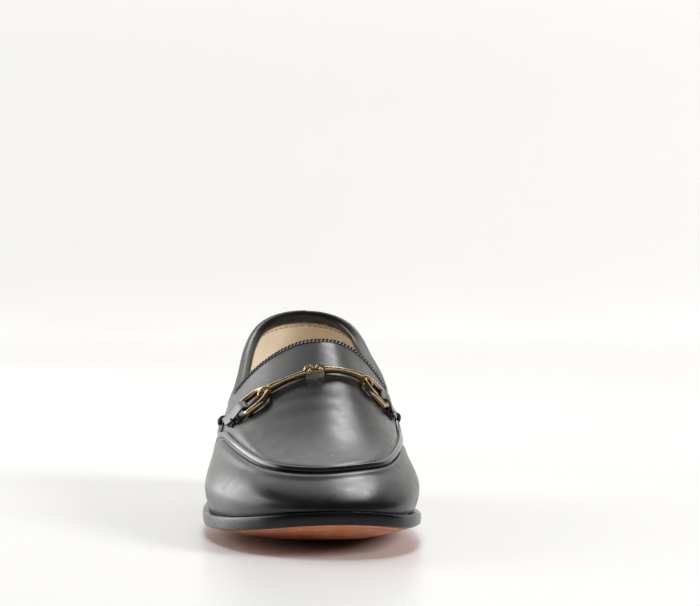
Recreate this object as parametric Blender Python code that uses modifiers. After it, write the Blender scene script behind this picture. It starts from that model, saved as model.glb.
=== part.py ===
"""Bit loafer for the right foot, as one assembly of separate pieces.

Lengths are in metres. The toe points to -Y, the big-toe side lies at +X and Z is up.
"Along" runs from the toe tip to the back, as a share of the shoe's length.
"Across" runs from the lateral edge at -1 to the medial edge at +1, as a share of the half width there.
"""
import math

import bmesh
import bpy
import numpy as np

# Whole shoe
SHOE_LENGTH = 0.254
BALL_WIDTH = 0.0848
HEEL_WIDTH = 0.0640
INSTEP_HEIGHT = 0.0740
CLEARANCE = 0.0003

# Bottom
SOLE_THICKNESS = 0.0048
SOLE_EDGE_BEVEL = 0.0006
SOLE_CAMBER = 0.0045
TOE_SPRING = 0.0106
HEEL_HEIGHT = 0.0165
HEEL_LENGTH = 0.0640
HEEL_INSET = 0.0008
HEEL_TAPER = 0.0015
TOP_LIFT_THICKNESS = 0.0052
BREAST_HOLLOW = 0.0030
INSOLE_THICKNESS = 0.0024
INSOLE_EASE = 0.0018

# Upper
UPPER_WALL = 0.0018
FEATHER_INSET = 0.0026
BELLY = 0.0038
BELLY_HEIGHT = 0.0120
TOE_ROUND = 0.0360
HEEL_ROUND = 0.0300
COLLAR_BACK = 0.0842
COLLAR_SIDE = 0.0480
PIPING_WIDTH = 0.0030
PIPING_HEIGHT = 0.0014

# Strap ends and bit
BIT_ALONG = 0.1030
BIT_MIDDLE_ACROSS = 0.07
BIT_LIFT = 0.0028
BIT_REACH = 0.0186
RING_LIFT = 0.0027
BAR_WIDTH = 0.0020
BAR_HEIGHT = 0.0030
INNER_EYE_RADIUS = 0.0014
OUTER_EYE_RADIUS = 0.0021
WIRE_RADIUS = 0.0006
LINK_HALF_LENGTH = 0.0022
LINK_HALF_WIDTH = 0.0014
LINK_WIRE_RADIUS = 0.00045
RING_LENGTH = 0.0125
RING_WIDTH = 0.0135
RING_BAR_WIDTH = 0.0015
RING_BAR_HEIGHT = 0.0020
RING_CORNER = 0.0012
BAR_EASE = 0.0005
STRAP_EASE = 0.0003
STRAP_WIDTH = 0.0088
STRAP_THICKNESS = 0.0013

# Mesh counts
SIDE_RIBS = 48
THROAT_RIB = 18
CORNER_RIB = 28
SEAM_END_RIB = 21
WALL_LEVELS = 6
CROWN_LEVELS = 6
SOLE_LEVELS = (0.0, 0.30, 0.70, 1.0)

# The two sides and which way each lies in X
SIDES = {"lateral": -1, "medial": 1}

# Plan of the outsole: along, lateral across, medial across (shares of the ball and heel half widths)
SOLE_OUTLINE = (
    (0.014, -0.130, 0.545),
    (0.047, -0.400, 0.735),
    (0.100, -0.640, 0.880),
    (0.180, -0.840, 0.970),
    (0.275, -0.965, 1.000),
    (0.375, -1.000, 0.970),
    (0.480, -0.960, 0.890),
    (0.590, -0.870, 0.840),
    (0.690, -0.860, 0.870),
    (0.785, -0.920, 0.960),
    (0.865, -0.940, 1.010),
    (0.945, -0.780, 0.860),
    (0.985, -0.400, 0.500),
)
TOE_TIP_ACROSS = 0.22
HEEL_TIP_ACROSS = 0.06

# Crest of the last: along, height (share of the instep height), shift across, roundness of the section
CREST = (
    (0.00, 0.330, 0.00, 0.40),
    (0.06, 0.375, 0.02, 0.40),
    (0.12, 0.425, 0.05, 0.40),
    (0.20, 0.510, 0.09, 0.40),
    (0.30, 0.655, 0.12, 0.41),
    (0.40, 0.835, 0.15, 0.44),
    (0.49, 1.000, 0.17, 0.45),
    (0.60, 1.180, 0.12, 0.33),
    (0.75, 1.300, 0.03, 0.32),
    (0.88, 1.240, 0.00, 0.36),
    (1.00, 1.240, 0.00, 0.36),
)

# Outward swell of the upper's sides: along, lateral and medial share of the belly,
# reach up as a share of the instep height
SWELL = (
    (0.00, 0.55, 0.55, 0.27),
    (0.15, 0.70, 0.70, 0.27),
    (0.30, 0.80, 0.85, 0.27),
    (0.42, 0.60, 1.00, 0.45),
    (0.55, 1.00, 2.00, 0.90),
    (0.70, 1.10, 1.90, 1.10),
    (0.85, 0.90, 0.90, 1.20),
    (1.00, 0.80, 0.80, 1.00),
)

# Throat edge from the crest down to the corner, heights as shares of the instep height:
# lateral along, lateral height, medial along, medial height
THROAT = (
    (0.492, 1.000, 0.492, 1.000),
    (0.496, 0.975, 0.500, 0.985),
    (0.503, 0.905, 0.510, 0.935),
    (0.513, 0.820, 0.520, 0.860),
    (0.526, 0.735, 0.534, 0.780),
    (0.552, 0.672, 0.556, 0.710),
)
CREST_ACROSS = 0.18

# Rise of the collar from its corners to the back: along, lateral and medial share of the rise
COLLAR = (
    (0.50, 0.00, 0.06),
    (0.58, 0.02, 0.15),
    (0.66, 0.13, 0.31),
    (0.76, 0.37, 0.46),
    (0.86, 0.67, 0.66),
    (0.93, 0.92, 0.91),
    (0.96, 1.00, 1.00),
    (1.00, 1.04, 1.04),
)

# Apron seam from its lateral end round the toe to its medial end: along, across
SEAM = (
    (0.440, -0.860),
    (0.390, -0.812),
    (0.331, -0.762),
    (0.264, -0.690),
    (0.197, -0.600),
    (0.138, -0.440),
    (0.114, -0.170),
    (0.112, 0.020),
    (0.119, 0.220),
    (0.150, 0.544),
    (0.213, 0.728),
    (0.335, 0.872),
    (0.430, 0.925),
)
SEAM_FRONT_ROW = 8


def natural_spline(knots, values, at):
    """Natural cubic spline through (knots, values), read at the places 'at'."""
    knots, values, at = (np.asarray(item, float) for item in (knots, values, at))
    step = np.diff(knots)
    count = len(knots)
    system = np.eye(count)
    right = np.zeros(count)
    for i in range(1, count - 1):
        system[i, i - 1 : i + 2] = step[i - 1], 2 * (step[i - 1] + step[i]), step[i]
        right[i] = 6 * ((values[i + 1] - values[i]) / step[i] - (values[i] - values[i - 1]) / step[i - 1])
    bend = np.linalg.solve(system, right)
    i = np.clip(np.searchsorted(knots, at) - 1, 0, count - 2)
    before = (knots[i + 1] - at) / step[i]
    after = 1 - before
    curved = (before**3 - before) * bend[i] + (after**3 - after) * bend[i + 1]
    return before * values[i] + after * values[i + 1] + curved * step[i] ** 2 / 6


def smooth_step(value, low, high):
    """0 below 'low', 1 above 'high', with a soft ramp between."""
    t = np.clip((np.asarray(value, float) - low) / (high - low), 0, 1)
    return t * t * (3 - 2 * t)


def read(table, column, along):
    """One column of a table of sections, at these shares along the shoe."""
    rows = np.array(table)
    return natural_spline(rows[:, 0], rows[:, column], np.asarray(along) / SHOE_LENGTH)


def run_of(points):
    """Length run along a polyline at each of its points."""
    return np.concatenate([[0], np.cumsum(np.linalg.norm(np.diff(points, axis=0), axis=1))])


def resample(points, places):
    """Points of a polyline at these shares of its length."""
    run = run_of(points)
    at = np.asarray(places) * run[-1]
    return np.stack([np.interp(at, run, points[:, k]) for k in range(points.shape[1])], axis=1)


def curve_through(points, count=400):
    """Dense natural spline through points by chord length."""
    points = np.asarray(points, float)
    run = run_of(points)
    at = np.linspace(0, run[-1], count)
    return np.stack([natural_spline(run, points[:, k], at) for k in range(points.shape[1])], axis=1)


def half_width(along):
    """Half width that the shares follow, from the ball's in front to the heel's behind."""
    back = smooth_step(along / SHOE_LENGTH, 0.45, 0.80)
    return 0.5 * (BALL_WIDTH * (1 - back) + HEEL_WIDTH * back)


def sole_loop():
    """The outsole's plan, closed, as (along, across) in metres: tip, medial side, back, lateral side."""
    rows = np.array(SOLE_OUTLINE)
    medial = rows[:, [0, 2]]
    lateral = rows[::-1, [0, 1]]
    loop = np.vstack([[0, TOE_TIP_ACROSS], medial, [1, HEEL_TIP_ACROSS], lateral])
    loop[:, 0] *= SHOE_LENGTH
    loop[:, 1] *= half_width(loop[:, 0])
    wrapped = np.vstack([loop[-4:], loop, loop[:5]])
    run = run_of(wrapped)
    at = np.linspace(run[4], run[4 + len(loop)], 3001)[:-1]
    return np.stack([natural_spline(run, wrapped[:, k], at) for k in (0, 1)], axis=1)


def inset(loop, distance):
    """A closed plan loop moved inwards, and its outward normals."""
    tangent = np.roll(loop, -1, axis=0) - np.roll(loop, 1, axis=0)
    tangent /= np.linalg.norm(tangent, axis=1)[:, None]
    normal = np.stack([tangent[:, 1], -tangent[:, 0]], axis=1)
    if np.sum(normal * (loop - loop.mean(axis=0))) < 0:
        normal = -normal
    return loop - normal * distance, normal


def sides_of(loop):
    """A closed plan loop as its lateral and medial sides, each from the toe tip to the back."""
    count = len(loop)
    tip = int(np.argmin(loop[:, 0]))
    back = int(np.argmax(loop[:, 0]))
    medial = loop[np.arange(tip, back + 1 + (count if back < tip else 0)) % count]
    lateral = loop[np.arange(back, tip + 1 + (count if tip < back else 0)) % count][::-1]
    return {"lateral": lateral, "medial": medial}


def bottom_height(along):
    """Underside of the outsole on its centre line: toe spring, flat tread, then the rise to the heel."""
    share = along / SHOE_LENGTH
    toe = TOE_SPRING * np.clip(1 - share / 0.32, 0, None) ** 2
    return toe + HEEL_HEIGHT * smooth_step(share, 0.40, 0.73)


def camber(along, level, x):
    """Rise of the outsole's edges (level 1) over its middle (level 0), more on the medial side."""
    share = along / SHOE_LENGTH
    size = SOLE_CAMBER * (0.55 + 0.45 * smooth_step(share, 0.0, 0.22)) * (1 - smooth_step(share, 0.38, 0.60))
    front = smooth_step(share, 0.03, 0.15) * (1 - smooth_step(share, 0.12, 0.45))
    medial = smooth_step(x / half_width(along), 0.3, 1.0) * front
    return size * (1 + 0.35 * medial) * smooth_step(level, 0.30, 1.35) / smooth_step(1.0, 0.30, 1.35)


class Last:
    """The form that the upper is drawn over."""

    def __init__(self):
        self.sole = sole_loop()
        self.feather, self.normals = inset(self.sole, FEATHER_INSET)
        self.sides = sides_of(self.feather)
        self.tip = self.feather[:, 0].min()
        self.back = self.feather[:, 0].max()

    def edges(self, along):
        """Lateral and medial feather edge at these places along."""
        return [np.interp(along, side[:, 0], side[:, 1]) for side in self.sides.values()]

    def plan(self, along, across):
        """(along, across) in metres for shares of the length and of the half width there."""
        along = np.asarray(along, float) * SHOE_LENGTH
        lateral, medial = self.edges(along)
        return np.stack([along, (lateral + medial) / 2 + across * (medial - lateral) / 2], axis=-1)

    def share_across(self, along, x):
        """Where a place lies across the form, from -1 at the lateral edge to +1 at the medial edge."""
        lateral, medial = self.edges(along)
        return np.clip((2 * x - lateral - medial) / np.maximum(medial - lateral, 1e-6), -1, 1)

    def seat(self, along, x):
        """Height of the feather line: the top of the outsole and the clearance over it."""
        return bottom_height(along) + camber(along, 1.0, x) + SOLE_THICKNESS + CLEARANCE

    def height(self, along, x):
        """Height of the last over a place in plan: rounded sections that close in at the toe and the heel."""
        across = self.share_across(along, x)
        fade = 0.2 * SHOE_LENGTH
        inside = smooth_step(along, self.tip, self.tip + fade)
        inside *= smooth_step(-along, -self.back, fade - self.back)
        leaned = across - read(CREST, 2, along) * inside * (1 - across**2)
        toe = np.clip((self.tip + TOE_ROUND - along) / TOE_ROUND, 0, 1)
        heel = np.clip((along - self.back + HEEL_ROUND) / HEEL_ROUND, 0, 1)
        body = np.clip((1 - leaned**2) * (1 - toe**2) * (1 - heel**2), 0, 1)
        seat = self.seat(along, x)
        return seat + (read(CREST, 1, along) * INSTEP_HEIGHT - seat) * body ** read(CREST, 3, along)

    def skin(self, plan, outward):
        """Points of the upper's outer face over places in plan, swollen outwards low on the sides."""
        along, x = plan[:, 0], plan[:, 1]
        height = self.height(along, x)
        above = np.maximum(height - self.seat(along, x), 0)
        medial = 0.5 + 0.5 * self.share_across(along, x)
        size = BELLY * (read(SWELL, 1, along) * (1 - medial) + read(SWELL, 2, along) * medial)
        rise = np.sin(0.5 * np.pi * np.clip(above / BELLY_HEIGHT, 0, 1))
        reach = read(SWELL, 3, along) * INSTEP_HEIGHT
        size *= rise * (1 - smooth_step(above, BELLY_HEIGHT, BELLY_HEIGHT + reach))
        moved = plan + outward * size[:, None]
        return np.stack([moved[:, 1], moved[:, 0] - SHOE_LENGTH / 2, height], axis=1)

    def collar_height(self, side, along):
        """Height of one side's collar edge over these places along."""
        column = 1 if side == "lateral" else 2
        return COLLAR_SIDE + (COLLAR_BACK - COLLAR_SIDE) * read(COLLAR, column, along)


class Upper:
    """Ribs that climb the last from the feather line through the apron seam to the crest or the opening."""

    def __init__(self, last):
        self.last = last
        self.ribs = {side: self.side_ribs(side) for side in ("lateral", "medial")}
        for level in (0, SIDE_RIBS):
            self.ribs["medial"][level] = self.ribs["lateral"][level]

    def side_ribs(self, side):
        """For one side: each rib's three guide points in plan and its outward direction."""
        foot = resample(self.last.sides[side], np.linspace(0, 1, SIDE_RIBS + 1))
        top = self.top_guide(side, foot)
        seam = self.seam_guide(side, foot, top)
        outward = self.outward(foot)
        return [(foot[i], seam[i], top[i], outward[i]) for i in range(SIDE_RIBS + 1)]

    def outward(self, foot):
        """Outward direction in plan at each rib's foot."""
        gaps = np.linalg.norm(self.last.feather[None] - foot[:, None], axis=2)
        return self.last.normals[np.argmin(gaps, axis=1)]

    def spine(self, ribs):
        """Plan points of the centre line that the ribs run to."""
        rise = np.asarray(ribs, float) / THROAT_RIB
        front = 0.165 + (THROAT[0][0] - 0.165) * rise
        rest = np.clip((np.asarray(ribs, float) - THROAT_RIB) / (SIDE_RIBS - THROAT_RIB), 0, 1)
        end = (self.last.back - HEEL_ROUND) / SHOE_LENGTH
        along = np.where(rise < 1, front, THROAT[0][0] + (end - THROAT[0][0]) * rest**0.85)
        inside = 1 - smooth_step(along, 0.55, 0.80)
        return self.last.plan(along, CREST_ACROSS * inside)

    def collar_place(self, side, foot, spine):
        """Where a rib of one side reaches the collar's height, in plan."""
        shares = np.linspace(0, 1, 600) ** 3
        plan = foot + (spine - foot) * shares[:, None]
        over = self.last.height(plan[:, 0], plan[:, 1]) >= self.last.collar_height(side, plan[:, 0])
        k = int(np.argmax(over)) if over.any() else len(shares) - 1
        return plan[k]

    def cross_section(self, side, along):
        """Section straight across, feather edge to crest: places in plan, heights, shares of its length."""
        share = along / SHOE_LENGTH
        across = SIDES[side] + (CREST_ACROSS - SIDES[side]) * np.linspace(0, 1, 300) ** 2
        plan = self.last.plan(np.full(len(across), share), across)
        height = np.maximum.accumulate(self.last.height(plan[:, 0], plan[:, 1]))
        run = run_of(np.stack([plan[:, 1], height], axis=1))
        return plan, height, run / run[-1]

    def climb(self, side, along, height):
        """How far up its cross section the upper reaches a height, as a share of the section's length."""
        _, heights, shares = self.cross_section(side, along)
        return float(np.interp(height, heights, shares))

    def top_guide(self, side, foot):
        """Plan places where the ribs end: on the crest, then down the throat edge, then along the collar."""
        spine = self.spine(np.arange(SIDE_RIBS + 1))
        collar = [self.collar_place(side, foot[i], spine[i]) for i in range(CORNER_RIB, SIDE_RIBS + 1)]
        columns = (0, 1) if side == "lateral" else (2, 3)
        rows = np.array(THROAT)[:, columns]
        knots = [(along * SHOE_LENGTH, height * INSTEP_HEIGHT) for along, height in rows]
        knots += [(place[0], self.last.collar_height(side, place[0])) for place in collar[:4]]
        climbs = [1.0] + [self.climb(side, along, height) for along, height in knots[1:]]
        edge = curve_through([(along / INSTEP_HEIGHT, climb) for (along, _), climb in zip(knots, climbs)])
        plan = []
        for along, climb in edge:
            places, _, shares = self.cross_section(side, along * INSTEP_HEIGHT)
            plan.append([np.interp(climb, shares, places[:, k]) for k in (0, 1)])
        plan = np.array(plan)
        corner = int(np.argmin(np.linalg.norm(plan - collar[0], axis=1)))
        plan = plan[: corner + 1]
        run = run_of(np.column_stack([plan, self.last.height(plan[:, 0], plan[:, 1])]))
        at = np.linspace(0, run[-1], CORNER_RIB - THROAT_RIB + 1)[:-1]
        throat = np.stack([np.interp(at, run, plan[:, k]) for k in (0, 1)], axis=1)
        return np.vstack([spine[:THROAT_RIB], throat, collar])

    def seam_curve(self, side):
        """The apron seam in plan, from its front to its end on one side."""
        rows = np.array(SEAM)
        curve = curve_through(self.last.plan(rows[:, 0], rows[:, 1]), 1200)
        front = np.argmin(np.linalg.norm(curve - self.last.plan(*rows[SEAM_FRONT_ROW]), axis=1))
        return curve[front::-1] if side == "lateral" else curve[front:]

    def seam_guide(self, side, foot, top):
        """Plan places where the ribs cross the apron seam, or part the wall from the quarter behind it."""
        seam = resample(self.seam_curve(side), np.linspace(0, 1, SEAM_END_RIB + 1))
        end = SEAM_END_RIB
        start = np.linalg.norm(seam[end] - foot[end]) / np.linalg.norm(top[end] - foot[end])
        rest = np.arange(1, SIDE_RIBS - end + 1)
        share = start + (0.30 - start) * smooth_step(rest / 8.0, 0, 1)
        return np.vstack([seam, foot[end + 1 :] + (top - foot)[end + 1 :] * share[:, None]])

    def dense_rib(self, rib):
        """One rib as two dense polylines on the outer face: feather to seam, and seam to top."""
        foot, seam, top, outward = rib
        low = foot + (seam - foot) * (np.linspace(0, 1, 240) ** 3)[:, None]
        high = seam + (top - seam) * np.linspace(0, 1, 240)[:, None]
        return self.last.skin(low, outward), self.last.skin(high, outward)

    def grid(self, side):
        """Outer face of one side, (ribs, levels, 3), evenly spaced up each rib."""
        rows = []
        for rib in self.ribs[side]:
            low, high = self.dense_rib(rib)
            wall = resample(low, np.linspace(0, 1, WALL_LEVELS + 1))
            crown = resample(high, np.linspace(0, 1, CROWN_LEVELS + 1))
            rows.append(np.vstack([wall, crown[1:]]))
        return np.array(rows)

    def near_seam(self, side, rib, offset):
        """Point on the outer face at a signed distance up the rib from the seam."""
        low, high = self.dense_rib(self.ribs[side][rib])
        whole = np.vstack([low, high[1:]])
        run = run_of(whole)
        at = run[len(low) - 1] + offset
        return np.array([np.interp(at, run, whole[:, k]) for k in range(3)])


def material(name, colour, roughness, metallic=0.0):
    """Plain Principled material."""
    made = bpy.data.materials.new(name)
    made.use_nodes = True
    shader = made.node_tree.nodes["Principled BSDF"]
    shader.inputs["Base Color"].default_value = (*colour, 1.0)
    shader.inputs["Roughness"].default_value = roughness
    shader.inputs["Metallic"].default_value = metallic
    made.diffuse_color = (*colour, 1.0)
    return made


def add_object(name, mesh, finish, collection, smooth=True):
    """A mesh as a named object with its material."""
    made = bpy.data.objects.new(name, mesh)
    mesh.materials.clear()
    mesh.materials.append(finish)
    collection.objects.link(made)
    if smooth:
        mesh.shade_smooth()
    return made


def mesh_of(name, points, faces):
    """A welded mesh from points and faces, its faces turned outwards."""
    mesh = bpy.data.meshes.new(name)
    mesh.from_pydata([tuple(map(float, p)) for p in points], [], [tuple(map(int, f)) for f in faces])
    work = bmesh.new()
    work.from_mesh(mesh)
    bmesh.ops.remove_doubles(work, verts=work.verts, dist=2e-6)
    bmesh.ops.dissolve_degenerate(work, edges=work.edges, dist=1e-6)
    bmesh.ops.recalc_face_normals(work, faces=work.faces)
    work.to_mesh(mesh)
    work.free()
    return mesh


def grid_faces(rows, columns, start=0, wrap=False):
    """Quads of a rows by columns grid, its last column joined to its first when it wraps."""
    last = columns if wrap else columns - 1
    faces = []
    for i in range(rows - 1):
        for j in range(last):
            k = (j + 1) % columns
            a, b = start + i * columns, start + (i + 1) * columns
            faces.append((a + j, b + j, b + k, a + k))
    return faces


def tube(sections):
    """Points and faces of a closed body through equal closed sections, capped flat at both ends."""
    rows, columns = len(sections), len(sections[0])
    points = np.asarray(sections, float).reshape(-1, 3)
    faces = grid_faces(rows, columns, wrap=True)
    faces.append(tuple(range(columns)))
    faces.append(tuple(range((rows - 1) * columns, rows * columns)))
    return points, faces


def build_upper(upper, finish, collection):
    """Hollow upper: the outer face of both sides, thickened inwards to the wall."""
    lateral, medial = upper.grid("lateral"), upper.grid("medial")
    medial[0], medial[-1] = lateral[0], lateral[-1]
    medial[: THROAT_RIB + 1, -1] = lateral[: THROAT_RIB + 1, -1]
    rows, columns = lateral.shape[:2]
    faces = grid_faces(rows, columns)
    faces += [face[::-1] for face in grid_faces(rows, columns, start=rows * columns)]
    points = np.vstack([lateral.reshape(-1, 3), medial.reshape(-1, 3)])
    mesh = mesh_of("upper", points, faces)
    top = max(mesh.polygons, key=lambda face: face.normal.z * (face.center.y < 0))
    if top.normal.z < 0:
        mesh.flip_normals()
    made = add_object("upper", mesh, finish, collection)
    wall = made.modifiers.new("wall", "SOLIDIFY")
    wall.thickness = UPPER_WALL
    wall.offset = -1.0
    wall.use_even_offset = True
    wall.thickness_clamp = 2.0
    wall.use_rim = True
    return made


def build_piping(upper, finish, collection):
    """Raised cord of leather along the apron seam, from the upper's own outer face."""
    stations = [("lateral", rib) for rib in range(SEAM_END_RIB, 0, -1)]
    stations += [("medial", rib) for rib in range(SEAM_END_RIB + 1)]
    half = PIPING_WIDTH / 2
    offsets = np.array([-half, 0, half])
    base = np.array([[upper.near_seam(side, rib, offset) for offset in offsets] for side, rib in stations])
    along = np.gradient(base[:, 1], axis=0)
    across = base[:, 2] - base[:, 0]
    normal = np.cross(along, across)
    normal /= np.linalg.norm(normal, axis=1)[:, None]
    normal *= np.where(normal[:, 2] < 0, -1, 1)[:, None]
    sections = []
    for place in range(len(stations)):
        foot = base[place] + normal[place] * CLEARANCE
        angles = np.linspace(0, np.pi, 6)
        arch = []
        for angle in angles:
            share = math.cos(angle)
            under = foot[1] + (foot[2] - foot[1] if share > 0 else foot[1] - foot[0]) * share
            arch.append(under + normal[place] * PIPING_HEIGHT * (0.12 + 0.88 * math.sin(angle)))
        sections.append([foot[2], *arch, foot[0], foot[1]])
    points, faces = tube(sections)
    return add_object("apron_piping", mesh_of("apron_piping", points, faces), finish, collection)


def sole_grid(loop, levels, height_of):
    """Plan grid from a centre line out to a loop, for both sides, its heights a function of place and level."""
    sides = sides_of(loop)
    tip, back = loop[:, 0].min(), loop[:, 0].max()
    spread = np.linspace(0, 1, SIDE_RIBS + 1)
    along = tip + TOE_ROUND + (back - tip - TOE_ROUND - HEEL_ROUND) * spread
    middle = sum(np.interp(along, line[:, 0], line[:, 1]) for line in sides.values()) / 2
    spine = np.stack([along, middle], axis=1)[:, None]
    levels = np.asarray(levels, float)
    grids = []
    for side in ("lateral", "medial"):
        edge = resample(sides[side], spread)[:, None]
        grids.append(spine + (edge - spine) * levels[None, :, None])
    grids[1][0], grids[1][-1] = grids[0][0], grids[0][-1]
    return [
        np.dstack([g[..., 1], g[..., 0] - SHOE_LENGTH / 2, height_of(g[..., 0], levels[None, :], g[..., 1])])
        for g in grids
    ]


def plate(name, loop, lower, upper_face, bevel, finish, collection):
    """Closed plate over a plan loop between two height functions, its edge eased by a bevel."""
    shrunk, _ = inset(loop, bevel)
    low = sole_grid(shrunk, SOLE_LEVELS, lower)
    low_edge = sole_grid(loop, (1.0,), lambda along, level, x: lower(along, level, x) + bevel)
    high_edge = sole_grid(loop, (1.0,), lambda along, level, x: upper_face(along, level, x) - bevel)
    high = sole_grid(shrunk, SOLE_LEVELS[::-1], upper_face)
    points, faces = [], []
    for side in range(2):
        grid = np.concatenate([low[side], low_edge[side], high_edge[side], high[side]], axis=1)
        rows, columns = grid.shape[:2]
        quads = grid_faces(rows, columns, start=len(points))
        faces += quads if side else [face[::-1] for face in quads]
        points += list(grid.reshape(-1, 3))
    return add_object(name, mesh_of(name, points, faces), finish, collection)


def build_outsole(last, finish, collection):
    """Leather outsole with toe spring, cambered tread and a level heel seat."""

    def under(along, level, x):
        return bottom_height(along) + camber(along, level, x)

    def over(along, level, x):
        return under(along, level, x) + SOLE_THICKNESS

    return plate("outsole", last.sole, under, over, SOLE_EDGE_BEVEL, finish, collection)


def build_insole(last, finish, collection):
    """Lined insole that lies on the outsole, inside the upper's wall."""
    loop, _ = inset(last.feather, UPPER_WALL + INSOLE_EASE)

    def under(along, level, x):
        return bottom_height(along) + camber(along, level, x) + SOLE_THICKNESS + CLEARANCE

    def over(along, level, x):
        return under(along, level, x) + INSOLE_THICKNESS

    return plate("insole", loop, under, over, SOLE_EDGE_BEVEL, finish, collection)


def heel_loop(last, reach):
    """Plan of the heel: the back of the outsole drawn in, closed by a hollowed breast."""
    loop, _ = inset(last.sole, HEEL_INSET + reach)
    sides = sides_of(loop)
    front = SHOE_LENGTH - HEEL_LENGTH + reach
    lateral = sides["lateral"][sides["lateral"][:, 0] > front]
    medial = sides["medial"][sides["medial"][:, 0] > front]
    start = np.array([front, np.interp(front, *sides["lateral"].T)])
    end = np.array([front, np.interp(front, *sides["medial"].T)])
    across = np.linspace(-1, 1, 13)[:, None]
    breast = (start + end) / 2 + across * (end - start) / 2
    breast[:, 0] += BREAST_HOLLOW * (1 - across[:, 0] ** 2)
    back = np.vstack([end, medial, lateral[::-1], start])
    return np.vstack([breast, resample(back, np.linspace(0, 1, 49))[1:-1]])


def build_heel(last, finishes, collection):
    """Stacked heel block and its rubber top lift, narrowing a little towards the floor."""
    top = HEEL_HEIGHT - CLEARANCE
    spans = {
        "heel_top_lift": (0.0, TOP_LIFT_THICKNESS, SOLE_EDGE_BEVEL),
        "heel_stack": (TOP_LIFT_THICKNESS + CLEARANCE, top, SOLE_EDGE_BEVEL / 2),
    }
    for name, (low, high, bevel) in spans.items():
        sections = []
        for height, reach in ((low, bevel), (low + bevel, 0), (high - bevel, 0), (high, bevel)):
            taper = HEEL_TAPER * (1 - height / top)
            loop = heel_loop(last, taper + reach)
            sections.append([(x, along - SHOE_LENGTH / 2, height) for along, x in loop])
        points, faces = tube(sections)
        add_object(name, mesh_of(name, points, faces), finishes[name], collection)


class Instep:
    """The line across the instep that the bit follows: places are lengths from its middle, medial positive."""

    def __init__(self, upper):
        last = upper.last
        shares = np.linspace(-0.98, 0.98, 1201)
        self.line = self.section(last, BIT_ALONG, shares)
        self.slope = self.section(last, BIT_ALONG + STRAP_WIDTH / 2, shares)
        self.slope -= self.section(last, BIT_ALONG - STRAP_WIDTH / 2, shares)
        run = run_of(self.line)
        self.run = run - np.interp(BIT_MIDDLE_ACROSS, shares, run)
        self.seams = {side: self.seam_place(upper, side) for side in SIDES}

    def section(self, last, along, shares):
        """The outer face straight across the shoe at one place along."""
        plan = last.plan(np.full(len(shares), along / SHOE_LENGTH), shares)
        outward = np.stack([np.zeros(len(shares)), np.sign(shares)], axis=1)
        return last.skin(plan, outward)

    def seam_place(self, upper, side):
        """Where the apron seam crosses this line."""
        curve = upper.seam_curve(side)
        crossing = curve[np.argmin(np.abs(curve[:, 0] - BIT_ALONG)), 1]
        half = self.run > 0 if SIDES[side] > 0 else self.run < 0
        return self.run[half][np.argmin(np.abs(self.line[half, 0] - crossing))]

    def read(self, values, place):
        """Values kept at the line's points, read at a place on it."""
        return np.array([np.interp(place, self.run, values[:, k]) for k in range(3)])

    def frame(self, place):
        """Unit directions there: medial along the line, backwards and outwards from the upper."""
        step = STRAP_WIDTH / 8
        across = self.read(self.line, place + step) - self.read(self.line, place - step)
        across /= np.linalg.norm(across)
        normal = np.cross(across, self.read(self.slope, place))
        normal /= np.linalg.norm(normal)
        return across, np.cross(normal, across), normal

    def at(self, place, lift, back=0.0):
        """A point 'lift' off the upper and 'back' towards the heel from the line."""
        _, backward, normal = self.frame(place)
        return self.read(self.line, place) + normal * lift + backward * back


def bar_profile(width, height, ease=BAR_EASE):
    """Eight-point outline of a bar with eased corners."""
    w, h = width / 2, height / 2
    quarter = [(w, h - ease), (w - ease, h)]
    half = quarter + [(-x, y) for x, y in quarter[::-1]]
    return half + [(-x, -y) for x, y in half]


def wire_profile(radius, count=8):
    """Round outline of a wire."""
    turns = np.arange(count) * 2 * math.pi / count
    return [(radius * math.cos(turn), radius * math.sin(turn)) for turn in turns]


def swept(stations, profile, closed=False):
    """Body of a profile's (right, up) pairs laid at each (centre, right, up), capped or joined end to end."""
    sections = [[centre + right * a + up * b for a, b in profile] for centre, right, up in stations]
    if not closed:
        return tube(sections)
    rows, columns = len(sections), len(profile)
    faces = grid_faces(rows, columns, wrap=True)
    last = (rows - 1) * columns
    faces += [(last + j, j, (j + 1) % columns, last + (j + 1) % columns) for j in range(columns)]
    return np.asarray(sections).reshape(-1, 3), faces


def loop_stations(centres, up):
    """Stations of a closed path that lies in a plane with this normal."""
    centres = np.asarray(centres)
    tangents = np.roll(centres, -1, axis=0) - np.roll(centres, 1, axis=0)
    rights = np.cross(tangents, up)
    rights /= np.linalg.norm(rights, axis=1)[:, None]
    return [(centre, right, up) for centre, right in zip(centres, rights)]


def oval_stations(centre, first, second, half_first, half_second, count):
    """Stations of an oval path round 'centre' in the plane of two directions."""
    turns = np.arange(count) * 2 * math.pi / count
    centres = [centre + first * half_first * math.cos(t) + second * half_second * math.sin(t) for t in turns]
    return loop_stations(centres, np.cross(first, second))


def joined(name, pieces, finish, collection):
    """Overlapping closed bodies joined into one by Boolean unions."""
    bodies = [bpy.data.objects.new(name, mesh) for mesh in pieces]
    for body in bodies:
        collection.objects.link(body)
    for other in bodies[1:]:
        union = bodies[0].modifiers.new("join", "BOOLEAN")
        union.operation = "UNION"
        union.solver = "EXACT"
        union.object = other
    made = bpy.data.meshes.new_from_object(bodies[0].evaluated_get(bpy.context.evaluated_depsgraph_get()))
    for body in bodies:
        bpy.data.objects.remove(body)
    return add_object(name, made, finish, collection)


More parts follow.
